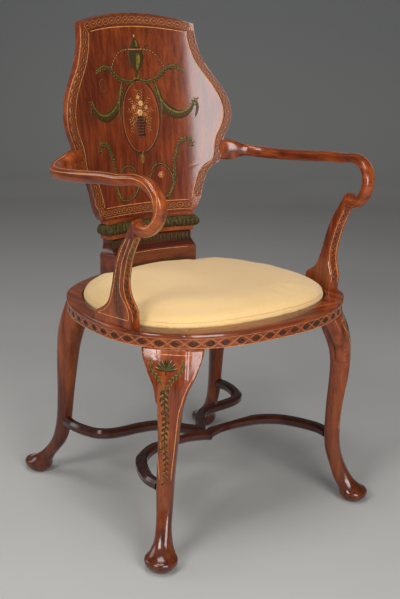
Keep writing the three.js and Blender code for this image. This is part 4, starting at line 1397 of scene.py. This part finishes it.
@dataclass
class PanelPainting:
    """The painted back: border bands, an urn over a framed bouquet, swags, scrolls and a tassel.

    Places are in millimetres, across from the panel's middle line and up from the floor.
    """

    artist: Artist
    edge_heights: tuple[float, ...] = (944, 918, 890, 870, 852, 835, 819, 803, 787, 772, 758, 741, 725,
                                       708, 690, 673, 655, 637, 611, 592)
    string_inset: float = 25.0
    band_inset: float = 14.5
    outer_inset: float = 4.5
    band_width: float = 18.0
    arch_half_width: float = 115.0
    foot_band_height: float = 580.5
    lozenge: float = 17.0
    oval_centre: Plan = (0.0, 771.0)
    oval_half: Plan = (47.0, 75.0)

    def paint(self) -> None:
        """Paint everything on the panel."""
        self.paint_borders()
        self.paint_urn()
        self.paint_medallion()
        self.paint_swags()
        self.paint_scrolls()
        self.artist.finish()

    def arch(self, crown: float, sag: float, reach: int, step: int) -> tuple[Plan, ...]:
        """Follow the panel's arched top.

        Args:
            crown: The line's height in the middle.
            sag: How much lower it lies at the arch's half width.
            reach: How far it runs to each side.
            step: The way between two points.

        Returns:
            The points of the line.
        """
        places = range(-reach, reach + 1, step)
        return tuple((x, crown - sag * (x / self.arch_half_width) ** 2) for x in places)

    def paint_borders(self) -> None:
        """Paint the strings and the bands of lozenges between them."""
        artist, face = self.artist, self.artist.ground
        sides = self.edge_heights[:-1]
        inner = face.edge(self.string_inset, self.edge_heights)
        middle = face.edge(self.band_inset, (950, *sides, 596))
        outer = face.edge(self.outer_inset, (956, *sides, 600, 573))
        top_band = self.arch(968.5, 10.5, 130, 20)
        foot_band = tuple((x, self.foot_band_height) for x in range(-112, 113, 16))
        artist.draw(Pigment.GLAZE, [Stroke(middle, self.band_width)])
        artist.draw(Pigment.GLAZE, [Stroke(top_band, 21), Stroke(foot_band, 16)], mirror=False)
        artist.draw(Pigment.STRING, [Stroke(inner, 1.4)])
        artist.draw(Pigment.OCHRE, [Stroke(outer, 1.2)])
        artist.draw(Pigment.STRING, [Stroke(self.arch(955, 10, 115, 23), 1.4),
                                     line((-107, 591), (0, 591), (107, 591)),
                                     line((-112, 571.5), (0, 571.5), (112, 571.5), width=1.0)], mirror=False)
        long = self.lozenge
        frame = (((0, 0), (4.3, 5.6), (long / 2, 6.5), (12.7, 5.6), (long, 0)), 1.1)
        cross = (((0, 6.5), (4, 2), (long / 2, 0), (13, 2), (long, 6.5)), 0.8)
        motif = [line(*((x, side * y) for x, y in points), width=width)
                 for points, width in (frame, cross) for side in SIDES.values()]
        centre_dot, corner_dot = disc((long / 2, 0), 1.3, 1.3), disc((0, 0), 1.0, 1.0)
        artist.repeat(Pigment.OCHRE, middle, motif, long, wobble=0.02)
        artist.repeat(Pigment.OCHRE, top_band, motif, long, wobble=0.02, mirror=False)
        artist.repeat(Pigment.STRING, middle, [centre_dot], long)
        artist.repeat(Pigment.STRING, top_band, [centre_dot, corner_dot], long, mirror=False)
        rosette = [ring((0, 0), 6.2, 5.4, 1.3), disc((0, 0), 2.0, 2.0)]
        artist.repeat(Pigment.OCHRE, foot_band, rosette, 14, mirror=False)

    def paint_garland(self, path: Sequence[Plan], widths: tuple[float, ...]) -> None:
        """Paint a draped garland: a dark body, lighter leaf strokes along its upper side and a gold edge.

        Args:
            path: The points along its middle.
            widths: Its width from end to end.
        """
        light_share, lift_share = 0.34, 0.22
        artist = self.artist
        raised = tuple((x, y + lift_share * max(widths)) for x, y in path)
        artist.draw(Pigment.GREEN, [Stroke(tuple(path), max(widths), widths=widths)])
        artist.draw(Pigment.LIME, [Stroke(raised, 2, widths=tuple(light_share * width for width in widths))])
        for pigment, leaves, pitch in ((Pigment.GREEN, leaf_pair(7, 3.6, 3, 0.8), 7),
                                       (Pigment.LIME, leaf_pair(6, 1.7, 3, 0.5), 6),
                                       (Pigment.GOLD, leaf_pair(5.5, 1.0, 4, 0.75), 7)):
            artist.repeat(pigment, path, leaves, pitch, wobble=0.2)

    def paint_urn(self) -> None:
        """Paint the covered urn at the top, with its ring handles, husk chains and garlands."""
        artist = self.artist
        body = Stroke(((0, 908), (0, 899), (0, 888), (0, 876), (0, 865)), 36, widths=(32, 38, 36, 27, 10))
        lid = Stroke(((0, 911), (0, 918), (0, 925), (0, 932)), 26, widths=(27, 23, 13, 4))
        foot = Stroke(((0, 866), (0, 861), (0, 856), (0, 851)), 18, widths=(6, 5, 9, 19))
        body_light = Stroke(((5, 900), (5, 888), (3, 876), (1, 866)), 11, widths=(12, 14, 11, 4))
        lid_light = Stroke(((4, 914), (4, 921), (2, 927)), 7, widths=(8, 6, 2))
        foot_light = Stroke(((2, 858), (3, 852)), 6, widths=(3, 9))
        rim, knob = line((-19, 909), (0, 908.4), (19, 909), width=2.2), disc((0, 936), 2.6, 3.4)
        glint = leaf((8, 901), (8, 889), (5, 876), width=2.4)
        base = line((-9, 851), (0, 851), (9, 851), width=1.6)
        belt = Stroke(((-16, 897), (0, 896), (16, 897)), 3.4)
        handle = line((17, 905), (23, 914), (31, 916), (32, 907), (25, 905), width=2.4)
        artist.draw(Pigment.GREEN, [body, lid, foot], mirror=False)
        artist.draw(Pigment.LIME, [body_light, lid_light, foot_light], mirror=False)
        artist.draw(Pigment.GOLD, [rim, knob, glint, base], mirror=False)
        artist.draw(Pigment.UMBER, [belt], mirror=False)
        artist.draw(Pigment.GREEN, [handle])
        chain = ((20, 908), (38, 904), (52, 893), (63, 876))
        artist.repeat(Pigment.UMBER, chain, [leaf((0, 0), (3.6, 1.4), (7.2, 0), width=4.6)], 6.6, taper=0.2)
        artist.repeat(Pigment.GOLD, chain, [leaf((0, 0), (3.0, 1.4), (6.0, 0), width=1.9)], 6.6, taper=0.2)
        stem = ((6, 846), (20, 843), (36, 846), (50, 852), (61, 862), (72, 871), (88, 874), (104, 868))
        self.paint_garland(stem, (8, 6, 8, 7, 10, 9, 6, 1.5))
        artist.overlay(((74, 870), (84, 866), (92, 858)), (Pigment.GREEN, 3.4, Pull.TAPER))

    def paint_medallion(self) -> None:
        """Paint the framed oval with a basket of flowers."""
        artist = self.artist
        half_width, half_height = self.oval_half
        for pigment, outside, width in ((Pigment.UMBER, 0.0, 2.6), (Pigment.GREEN, 1.6, 1.4),
                                        (Pigment.OCHRE, -2.6, 0.8)):
            frame = ring(self.oval_centre, half_width + outside, half_height + outside, width, 28)
            artist.draw(pigment, [frame], mirror=False)
        basket = Stroke(((0, 771), (0, 757), (0, 744), (0, 729)), 24, widths=(26, 23, 18, 21))
        withes = ((12, 768), (11, 762), (10, 756), (9, 750), (8.4, 744), (8.4, 738), (9.4, 731))
        bands = [line((-half, z), (0, z - 1), (half, z), width=1.5) for half, z in withes]
        artist.draw(Pigment.UMBER, [basket], mirror=False)
        artist.draw(Pigment.OCHRE, bands, mirror=False)
        artist.draw(Pigment.GREEN, [leaf((-3, 770), (-4, 750), (-3, 732), width=4)], mirror=False)
        sprigs = (((2, 772), (14, 782), (25, 785)), ((2, 772), (12, 775), (23, 767)),
                  ((1, 774), (12, 794), (21, 806)), ((0, 774), (3, 800), (5, 822)),
                  ((6, 772), (18, 762), (21, 746)))
        for path in sprigs:
            artist.overlay(path, (Pigment.UMBER, 1.3, Pull.TAPER))
            artist.repeat(Pigment.OCHRE, path, leaf_pair(8, 3.0, 3), 6, taper=0.3)
            artist.repeat(Pigment.GREEN, path, leaf_pair(6, 2.0, 3, 0.8), 6, taper=0.3)
        flowers = ((0, 780, 8.0), (-15, 792, 6.0), (3, 799, 6.5), (16, 790, 5.5), (-3, 812, 4.5),
                   (13, 775, 4.5))
        reach_share, petal_share, eye_share, turn_each = 0.55, 0.42, 0.28, 0.3
        for i, (x, y, size) in enumerate(flowers):
            outside, eye = (Pigment.OCHRE, Pigment.ROSE) if i % 2 else (Pigment.CREAM, Pigment.OCHRE)
            corolla = petals((x, y), reach_share * size, petal_share * size, turn_each * i)
            artist.draw(outside, corolla, mirror=False)
            artist.draw(eye, [disc((x, y), eye_share * size, eye_share * size)], mirror=False)

    def paint_swags(self) -> None:
        """Paint the swags beside the medallion and the drops at their ends."""
        artist = self.artist
        swag = ((41, 838), (47, 816), (58, 795), (72, 781), (90, 774), (107, 777), (120, 788), (129, 804))
        self.paint_garland(swag, (3, 8, 14, 19, 20, 15, 8, 2))
        inner = ((44, 838), (49, 820), (53, 800), (54, 782), (51, 764))
        outer = ((130, 806), (133, 790), (130, 776), (126, 766))
        light_share = 0.55
        for drop, width in ((inner, 9.5), (outer, 6.0)):
            artist.overlay(drop, (Pigment.GREEN, width, Pull.LEAF),
                           (Pigment.LIME, width * light_share, Pull.LEAF), (Pigment.GOLD, 1.2, Pull.TAPER))
        frame = ((0, 848), (18, 847), (34, 844), (42, 836))
        artist.overlay(frame, (Pigment.UMBER, 3.0, Pull.EVEN))
        curl = ((88, 848), (95, 851), (102, 845), (101, 834), (93, 826), (87, 831), (89, 838), (94, 838))
        artist.overlay(curl, (Pigment.GREEN, 3.0, Pull.TAPER), (Pigment.GOLD, 1.2, Pull.TAPER))

    def paint_scrolls(self) -> None:
        """Paint the leaf scrolls, the loops and the tassel of the lower half."""
        artist = self.artist
        scroll = ((112, 706), (117, 712), (112, 721), (102, 722), (93, 718), (86, 706), (81, 690), (76, 672),
                  (75, 650), (73, 628), (62, 606))
        self.paint_garland(scroll, (3, 4, 5, 6, 5.5, 5, 4.5, 4, 3.5, 2.5, 1.5))
        large_loop = ((20, 658), (28, 668), (42, 672), (57, 665), (68, 648), (71, 630), (66, 612), (58, 601))
        small_loop = ((22, 655), (14, 640), (16, 622), (28, 606), (45, 600), (57, 602))
        for path in (large_loop, small_loop):
            artist.overlay(path, (Pigment.GREEN, 4.6, Pull.EVEN), (Pigment.GOLD, 1.5, Pull.EVEN))
            artist.repeat(Pigment.GREEN, path, leaf_pair(7, 3.0, 3, 0.7), 9, wobble=0.2)
        rosette = (43, 648)
        artist.draw(Pigment.OCHRE, petals(rosette, 4.5, 3.2))
        artist.draw(Pigment.CREAM, [disc(rosette, 2.0, 2.0)])
        tassel = Stroke(((0, 697), (0, 690), (0, 683), (0, 675)), 8, widths=(2, 9, 7, 3))
        artist.draw(Pigment.LIME, [tassel], mirror=False)
        artist.overlay(((2, 700), (12, 696), (20, 688), (22, 678)), (Pigment.GREEN, 4, Pull.TAPER))
        for hanging in fan((0, 640), (13.2, -14), (24, -26), (0.0, 0.5, 1.0), 5):
            artist.overlay(hanging.points, (Pigment.GREEN, hanging.width, Pull.LEAF),
                           (Pigment.GOLD, 1.4, Pull.LEAF))
        artist.draw(Pigment.GREEN, [line((0, 675), (0, 640), width=1.8)])


@dataclass
class RailPainting:
    """The guilloche round the seat frame: linked ovals with dark eyes between two strings."""

    artist: Artist
    round_length: float
    ovals: int = 55
    points_each: int = 4
    middle: float = 423.0
    half_height: float = 8.0
    string_heights: tuple[float, float] = (413.8, 432.2)
    string_step: float = 8.0

    def paint(self) -> None:
        """Paint the whole round."""
        artist = self.artist
        pitch = self.round_length / self.ovals
        count = self.points_each * self.ovals
        level = [(self.round_length * i / count, self.middle) for i in range(count + 1)]
        for height in self.string_heights:
            string = Stroke(tuple((run, height) for run, _ in level), 1.3, widths=(1.3, 1.3))
            artist.draw(Pigment.STRING, [string], mirror=False, step=self.string_step)
        shares = [i / self.points_each for i in range(self.points_each + 1)]
        wave = [(pitch * share, self.half_height * math.cos(math.pi * share)) for share in shares]
        weave = [Stroke(tuple((run, side * rise) for run, rise in wave), 1.4, widths=(1.4, 1.4))
                 for side in SIDES.values()]
        eye, glint = disc((pitch, 0), 8.6, 5.4), ring((pitch, 0), 4.2, 2.8, 0.9, 10)
        artist.repeat(Pigment.OCHRE, level, weave, pitch, wobble=0.0, mirror=False)
        artist.repeat(Pigment.UMBER, level, [eye], pitch, wobble=0.04, mirror=False)
        artist.repeat(Pigment.OCHRE, level, [glint], pitch, wobble=0.04, mirror=False)
        artist.finish()


@dataclass
class LegPainting:
    """The outer face of a front leg: strings down both edges, a shell on the knee and a trailing vine."""

    artist: Artist
    edge_heights: tuple[float, ...] = (404, 396, 388, 380, 370, 358, 345, 332, 318, 300, 275, 250, 225,
                                       200, 180, 162)
    string_inset: float = 5.0
    shell_root: Plan = (0.0, 378.0)

    def paint(self) -> None:
        """Paint the face."""
        artist, face = self.artist, self.artist.ground
        artist.draw(Pigment.STRING, [Stroke(face.edge(self.string_inset, self.edge_heights), 1.3)])
        top = self.edge_heights[0]
        half = face.half_width(top) - self.string_inset
        artist.draw(Pigment.STRING, [line((-half, top), (0, top), (half, top))], mirror=False)
        vine = tuple((1.5 * math.sin(z / 14), z) for z in range(350, 160, -17))
        artist.draw(Pigment.GREEN, [Stroke(vine, 3.0, Pull.TAPER)], mirror=False)
        for pigment, leaves, pitch in ((Pigment.GREEN, leaf_pair(11, 5.6, 6, 0.55), 12),
                                       (Pigment.LIME, leaf_pair(8, 2.4, 6, 0.5), 12),
                                       (Pigment.GOLD, leaf_pair(9, 1.3, 4, 0.75), 10)):
            artist.repeat(pigment, vine, leaves, pitch, wobble=0.2, taper=0.3, mirror=False)
        shell = fan(self.shell_root, (13, 12), (22, 21), (0.0, 0.45, 0.9, 1.35), 8)
        artist.draw(Pigment.GREEN, shell)
        artist.draw(Pigment.LIME, [leaf(*petal.points, width=3.6) for petal in shell])
        artist.draw(Pigment.CREAM, [leaf(*petal.points[1:], width=1.6) for petal in shell])
        artist.draw(Pigment.UMBER, [leaf((0, 394), (0, 384), (0, 368), width=5)], mirror=False)
        spray = ((26, 396), (30, 386), (24, 374), (12, 362), (6, 350))
        artist.overlay(spray, (Pigment.GREEN, 5.0, Pull.LEAF), (Pigment.GOLD, 1.2, Pull.TAPER))
        artist.repeat(Pigment.LIME, spray, leaf_pair(7, 2.6, 4, 0.6), 7)
        artist.finish()


@dataclass
class SupportPainting:
    """An arm support: strings inside its curved edges and a vine up the middle."""

    side_face: Artist
    front_edge: Artist
    edge_string_inset: float = 7.6

    def paint(self) -> None:
        """Paint the outer side and the front edge."""
        front = line((-51, 18), (-51, 34), (-44, 49), (-35, 62), (-33, 82), (-38, 106), (-44, 128),
                     (-56, 152), (-66, 172))
        rear = line((30, 17), (10, 27), (-4, 42), (-12, 60), (-19, 82), (-25, 104), (-32, 126),
                    (-43, 149), (-57, 171))
        foot = line((-51, 17), (-10, 17), (30, 17))
        artist = self.side_face
        artist.draw(Pigment.STRING, [front, rear, foot], mirror=False)
        vine = ((-22, 22), (-24, 45), (-25, 70), (-28, 95), (-35, 122), (-46, 146))
        artist.draw(Pigment.GREEN, [Stroke(vine, 2.4, Pull.TAPER)], mirror=False)
        artist.repeat(Pigment.GREEN, vine, leaf_pair(9, 4.0, 5), 11, taper=0.4, mirror=False)
        artist.repeat(Pigment.GOLD, vine, leaf_pair(7, 1.7, 5), 11, taper=0.4, mirror=False)
        artist.finish()
        artist = self.front_edge
        string = tuple((self.edge_string_inset, up) for up in range(14, 175, 12))
        artist.draw(Pigment.STRING, [Stroke(string, 1.2)])
        stem = tuple((0.8 * math.sin(up / 9), up) for up in range(20, 165, 12))
        artist.draw(Pigment.GREEN, [Stroke(stem, 1.8, Pull.TAPER)], mirror=False)
        artist.repeat(Pigment.GREEN, stem, leaf_pair(8, 3.2, 5), 10, taper=0.3, mirror=False)
        artist.finish()


@dataclass
class ArmPainting:
    """An arm: two strings that follow it from the back to the end of the crook."""

    artist: Artist
    start: int = 34
    end: int = 530
    step: int = 8
    off_middle: float = 4.5
    longest_piece: float = 5.0

    def paint(self) -> None:
        """Paint both strings."""
        strings = [Stroke(tuple((run, across) for run in range(self.start, self.end, self.step)), 1.1)
                   for across in (-self.off_middle, self.off_middle)]
        self.artist.draw(Pigment.STRING, strings, mirror=False, step=self.longest_piece)
        self.artist.finish()


@dataclass
class ShoePainting:
    """The mouldings under the back: a dark quill between each two lobes as painted shade, leaves under them,
    and a strung plinth.
    """

    artist: Artist
    lobes: int = 24
    torus_foot: float = 536.0
    torus_top: float = 559.0
    torus_inset: float = 0.6
    torus_half_chord: float = 111.0
    torus_bulge: float = 11.0
    leaf_pitch: float = 9.0
    string_drop: float = 4.0

    def paint(self) -> None:
        """Paint all the mouldings."""
        self.paint_torus()
        self.paint_cavetto()
        self.paint_plinth()
        self.artist.finish()

    def paint_torus(self) -> None:
        """Paint a dark quill in each hollow between two lobes: partly the wood between them, partly painted
        shade in the hollow.
        """
        radius = ShoeGround.radius
        middle = (self.torus_foot + self.torus_top) / 2
        half = (self.torus_top - self.torus_foot) / 2 - self.torus_inset
        shaded_quills = []
        for k in range(1, self.lobes):
            points = []
            for share in (-0.85, -0.5, 0.0, 0.5, 0.85):
                chord = self.torus_half_chord + self.torus_bulge * math.sqrt(1 - share**2)
                half_turn = math.asin(chord / radius)
                points.append((radius * half_turn * (2 * k / self.lobes - 1), middle + share * half))
            shaded_quills.append(leaf(*points, width=2.0))
        self.artist.draw(Pigment.UMBER, shaded_quills, mirror=False)

    def paint_cavetto(self) -> None:
        """Paint a row of hanging leaves with light veins."""
        foot, top = (corner.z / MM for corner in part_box("back_cavetto"))
        rise = top - foot
        row = tuple((run, top - 2.5) for run in range(-108, 109, 12))
        drop = [leaf((0, 0), (0.4, -0.3 * rise), (0, -0.62 * rise), width=8.5)]
        vein = [leaf((1.2, -1), (1.6, -0.28 * rise), (1.0, -0.52 * rise), width=2.4)]
        self.artist.repeat(Pigment.GREEN, row, drop, self.leaf_pitch, wobble=0.03, mirror=False)
        self.artist.repeat(Pigment.LIME, row, vein, self.leaf_pitch, wobble=0.03, mirror=False)

    def paint_plinth(self) -> None:
        """Paint a string along the plinth's top and a waved leaf stem across its middle."""
        foot, top = (corner.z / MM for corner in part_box("back_plinth"))
        high = top - self.string_drop
        string = line((-96, high), (0, high), (96, high), width=1.0)
        self.artist.draw(Pigment.STRING, [string], mirror=False)
        middle = (foot + top) / 2
        stem = tuple((run, middle + wave) for run, wave in ((0, -3), (22, 2), (44, -3), (66, 2), (88, -3)))
        self.artist.repeat(Pigment.GREEN, stem, leaf_pair(6, 2.4, 3), 6)


@dataclass
class PaintedOrnament:
    """All the painting on the chair."""

    timber: dict[str, bpy.types.Object]
    seat_centre: Vector
    plan: SeatPlan

    def paint(self, palette: Palette) -> None:
        """Paint every ground.

        Args:
            palette: The finishes.
        """
        rows = MotifRow()
        centre = self.seat_centre

        def artist(name: str, ground: Ground) -> Artist:
            """An artist for one ground."""
            return Artist(name, ground, palette, rows)

        def pieces(*names: str) -> list[bpy.types.Object]:
            """The timber whose node names hold one of the names."""
            return [piece for node, piece in self.timber.items() if any(name in node for name in names)]

        PanelPainting(artist("panel", PanelGround(pieces("back_panel"), centre, reach_mm=100))).paint()
        rails = RailGround(pieces("seat_rail"), centre, self.plan)
        RailPainting(artist("rail", rails), self.plan.lengths[-1]).paint()
        shoe = ShoeGround(pieces("back_torus", "back_cavetto", "back_plinth"), centre, reach_mm=50)
        ShoePainting(artist("shoe", shoe)).paint()
        for word, side in SIDES.items():
            leg = LegGround(pieces(f"leg_front_{word}"), centre, side, reach_mm=110)
            LegPainting(artist(f"leg_{word}", leg)).paint()
            board = pieces(f"arm_support_{word}")
            face = SupportGround(board, centre, side, False, reach_mm=40)
            edge = SupportGround(board, centre, side, True, reach_mm=60)
            SupportPainting(artist(f"support_{word}", face), artist(f"support_edge_{word}", edge)).paint()
            arm = ArmGround([self.timber[f"arm_{word}"]], centre, side, reach_mm=35)
            ArmPainting(artist(f"arm_{word}", arm)).paint()


@dataclass
class SeatCushion:
    """The stuffed seat: a crowned oval pad in cotton, corded and tacked round its edge."""

    seat_centre: Vector
    plan: SeatPlan
    node: str = "seat_pad"
    voxel_mm: float = 5.0
    shrink_share: float = 0.99
    held_below_mm: float = 6.0
    pressure: float = 4.0
    cloth_quality: int = 5
    last_frame: int = 20
    cap_mm: float = 3.0
    ironing_passes: int = 14
    cord_inset_mm: float = 14.0
    cord_width_mm: float = 2.2
    cord_height_mm: float = 1.1
    cord_points: int = 90
    tack_pitch_mm: float = 7.0
    tack_span_mm: tuple[float, float] = (4.0, 7.5)
    tack_width_mm: float = 1.2
    tack_height_mm: float = 0.35

    def build(self, palette: Palette) -> bpy.types.Object:
        """Make the cushion with its cord and tacks.

        Args:
            palette: The finishes.

        Returns:
            The finished cushion.
        """
        pad = merged_copy(self.node, "seat_cushion")
        self.inflate(pad)
        add_modifier(pad, "softening", "SUBSURF", levels=1, render_levels=1)
        settle(pad)
        pad.data.shade_smooth()
        set_finish(pad, palette["cotton_cover"])
        join_chair(pad, Slot.COVER, self.node)
        LOG.info("cushion: %d faces", len(pad.data.polygons))
        self.trim(pad, palette)
        return pad

    def trim(self, pad: bpy.types.Object, palette: Palette) -> None:
        """Sew the cord inside the edge and set the tacks round the foot of the side.

        Args:
            pad: The finished cushion.
            palette: The finishes.
        """
        length = self.plan.lengths[-1]
        points, inset, width = self.cord_points, self.cord_inset_mm, self.cord_width_mm
        around = tuple((length * i / points, inset) for i in range(points + 1))
        cord = paint_flat([Stroke(around, width, widths=(width, width))], self.cord_height_mm, step=8)
        count = round(length / self.tack_pitch_mm)
        low, high = (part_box(self.node)[0].z / MM + rise for rise in self.tack_span_mm)
        runs = [length * i / count for i in range(count)]
        tacks = paint_flat([line((run, low), (run, high), width=self.tack_width_mm) for run in runs],
                           self.tack_height_mm)
        sewn = Skin()
        for ground, flat in ((CushionGround([pad], self.seat_centre, self.plan), cord),
                             (RailGround([pad], self.seat_centre, self.plan), tacks)):
            sewn.add((ground.lay(*point) for point in flat.points), flat.faces)
        piece = link_mesh("seat_cord", skin_mesh("seat_cord", sewn))
        set_finish(piece, palette["cotton_cord"])
        join_chair(piece, Slot.COVER)

    def inflate(self, pad: bpy.types.Object) -> None:
        """Swell the pad by a short cloth simulation, with each point's travel capped.

        Args:
            pad: The pad, which is changed in place.
        """
        scene = bpy.context.scene
        low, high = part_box(self.node)
        middle = (low + high) / 2
        add_modifier(pad, "grid", "REMESH", mode="VOXEL", voxel_size=self.voxel_mm * MM)
        settle(pad)
        for vertex in pad.data.vertices:
            offset = vertex.co - middle
            narrowed = Vector((offset.x * self.shrink_share, offset.y * self.shrink_share, offset.z))
            vertex.co = middle + narrowed
        start = [vertex.co.copy() for vertex in pad.data.vertices]
        held = pad.vertex_groups.new(name="held")
        base = low.z + self.held_below_mm * MM
        held.add([vertex.index for vertex in pad.data.vertices if vertex.co.z < base], 1.0, "REPLACE")
        cloth = add_modifier(pad, "cloth", "CLOTH")
        cloth.settings.vertex_group_mass = held.name
        cloth.settings.use_pressure = True
        cloth.settings.uniform_pressure_force = self.pressure
        cloth.settings.effector_weights.gravity = 0.0
        cloth.settings.quality = self.cloth_quality
        cloth.point_cache.frame_start = 1
        cloth.point_cache.frame_end = self.last_frame
        for frame_number in range(1, self.last_frame + 1):
            scene.frame_set(frame_number)
        graph = bpy.context.evaluated_depsgraph_get()
        moved = [vertex.co.copy() for vertex in pad.evaluated_get(graph).data.vertices]
        pad.modifiers.clear()
        pad.vertex_groups.clear()
        scene.frame_set(1)
        cap = self.cap_mm * MM
        for vertex, before, after in zip(pad.data.vertices, start, moved):
            travel = after - before
            if travel.length > cap:
                travel *= cap / travel.length
            vertex.co = before + travel
        add_modifier(pad, "ironing", "SMOOTH", factor=0.5, iterations=self.ironing_passes)
        settle(pad)


@dataclass(frozen=True)
class Lamp:
    """A soft rectangular lamp that looks at the chair's middle, with sizes in metres."""

    name: str
    place: tuple[float, float, float]
    size: tuple[float, float]
    watts: float
    aim_height: float = 0.55

    def hang(self) -> None:
        """Put the lamp into the scene."""
        data = bpy.data.lights.new(self.name, "AREA")
        data.shape = "RECTANGLE"
        data.size, data.size_y = self.size
        data.energy = self.watts
        lamp = bpy.data.objects.new(self.name, data)
        lamp.location = self.place
        aim = Vector((0, 0, self.aim_height)) - Vector(self.place)
        lamp.rotation_euler = aim.to_track_quat("-Z", "Y").to_euler()
        bpy.context.scene.collection.objects.link(lamp)


@dataclass
class Studio:
    """The pale floor, the backdrop, the lamps and the camera at the photographer's place."""

    seat_centre: Vector
    camera_place_mm: tuple[float, float, float] = (-1195.59, -1538.70, 997.43)
    azimuth: float = -0.6488
    elevation: float = 0.2820
    roll: float = 0.0223
    focal_length_px: float = 1010.51
    sensor_mm: float = 36.0
    sight_end: float = 50.0
    floor_half_width: float = 6.0
    floor_front: float = -4.0
    rise_start: float = 3.2
    rise_radius: float = 1.6
    rise_steps: int = 16
    backdrop_top: float = 4.0
    air_colour: str = "e8ecf2"
    air_shines: float = 0.08
    air_is_seen: float = 0.3
    lamps: tuple[Lamp, ...] = (
        Lamp("front", (-0.58, -2.75, 1.25), (1.3, 1.9), 72.0),
        Lamp("fill", (-2.5, -0.9, 2.1), (1.0, 1.0), 42.0),
        Lamp("top", (-0.5, -0.3, 3.0), (1.2, 1.2), 32.0),
        Lamp("back", (-2.1, 2.2, 1.7), (1.6, 1.6), 22.0),
    )

    def build(self) -> None:
        """Make the whole studio."""
        self.make_camera()
        self.make_floor()
        self.make_air()
        for lamp in self.lamps:
            lamp.hang()

    def make_camera(self) -> None:
        """Place the camera and make it the scene's own."""
        data = bpy.data.cameras.new("camera")
        data.sensor_width = self.sensor_mm
        data.lens = self.focal_length_px * self.sensor_mm / PHOTO_LONG_SIDE
        data.clip_end = self.sight_end
        camera = bpy.data.objects.new("camera", data)
        ahead = Vector((-math.sin(self.azimuth) * math.cos(self.elevation),
                        math.cos(self.azimuth) * math.cos(self.elevation), -math.sin(self.elevation)))
        right = ahead.cross(Vector((0, 0, 1))).normalized()
        up = right.cross(ahead)
        turned_right = math.cos(self.roll) * right + math.sin(self.roll) * up
        turned_up = -math.sin(self.roll) * right + math.cos(self.roll) * up
        turn = Matrix((turned_right, turned_up, -ahead)).transposed().to_4x4()
        place = Vector(self.camera_place_mm) * MM + self.seat_centre
        camera.matrix_world = Matrix.Translation(place) @ turn
        bpy.context.scene.collection.objects.link(camera)
        bpy.context.scene.camera = camera

    def make_floor(self) -> None:
        """Lay a wide floor that sweeps up into a backdrop."""
        start, radius = self.rise_start, self.rise_radius
        turns = [math.pi / 2 * step / self.rise_steps for step in range(1, self.rise_steps + 1)]
        sweep = [(start + radius * math.sin(turn), radius * (1 - math.cos(turn))) for turn in turns]
        profile = [(self.floor_front, 0.0), (start, 0.0), *sweep, (start + radius, self.backdrop_top)]
        points = [Vector((side * self.floor_half_width, y, z)) for side in (-1, 1) for y, z in profile]
        count = len(profile)
        faces = [(i, i + 1, count + i + 1, count + i) for i in range(count - 1)]
        mesh = bpy.data.meshes.new("studio_floor")
        mesh.from_pydata(points, [], faces)
        mesh.flip_normals()
        mesh.transform(Matrix.Rotation(self.azimuth, 4, "Z"))
        mesh.shade_smooth()
        floor = link_mesh("studio_floor", mesh)
        set_finish(floor, StudioPaper("studio_paper").build())

    def make_air(self) -> None:
        """Fill the room with a dim even world, which is seen paler than it shines."""
        world = bpy.data.worlds.new("studio_air")
        bpy.context.scene.world = world
        world.use_nodes = True
        tree = world.node_tree
        tree.nodes.clear()
        seen = add_node(tree, "ShaderNodeLightPath").outputs["Is Camera Ray"]
        strength = add_node(tree, "ShaderNodeMapRange", {"Value": seen, "To Min": self.air_shines,
                            "To Max": self.air_is_seen}).outputs["Result"]
        air = add_node(tree, "ShaderNodeBackground", {"Color": linear(self.air_colour), "Strength": strength})
        add_node(tree, "ShaderNodeOutputWorld", {"Surface": air.outputs["Background"]})


def main() -> None:
    """Build the chair's looks and the studio round it."""
    logging.basicConfig(level=logging.INFO, format="%(name)s: %(message)s")
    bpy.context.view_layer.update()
    bpy.context.scene.view_settings.view_transform = "Standard"
    seat_centre = Vector((0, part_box("seat_rail_back")[1].y - SeatPlan.rear * MM, 0))
    plan = SeatPlan(half_width=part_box("seat_rail_left")[1].x / MM)
    palette = Palette()
    Studio(seat_centre).build()
    timber = ChairTimber().build(palette)
    HiddenParts().dress(palette)
    PaintedOrnament(timber, seat_centre, plan).paint(palette)
    SeatCushion(seat_centre, plan).build(palette)


if __name__ == "__main__":
    main()
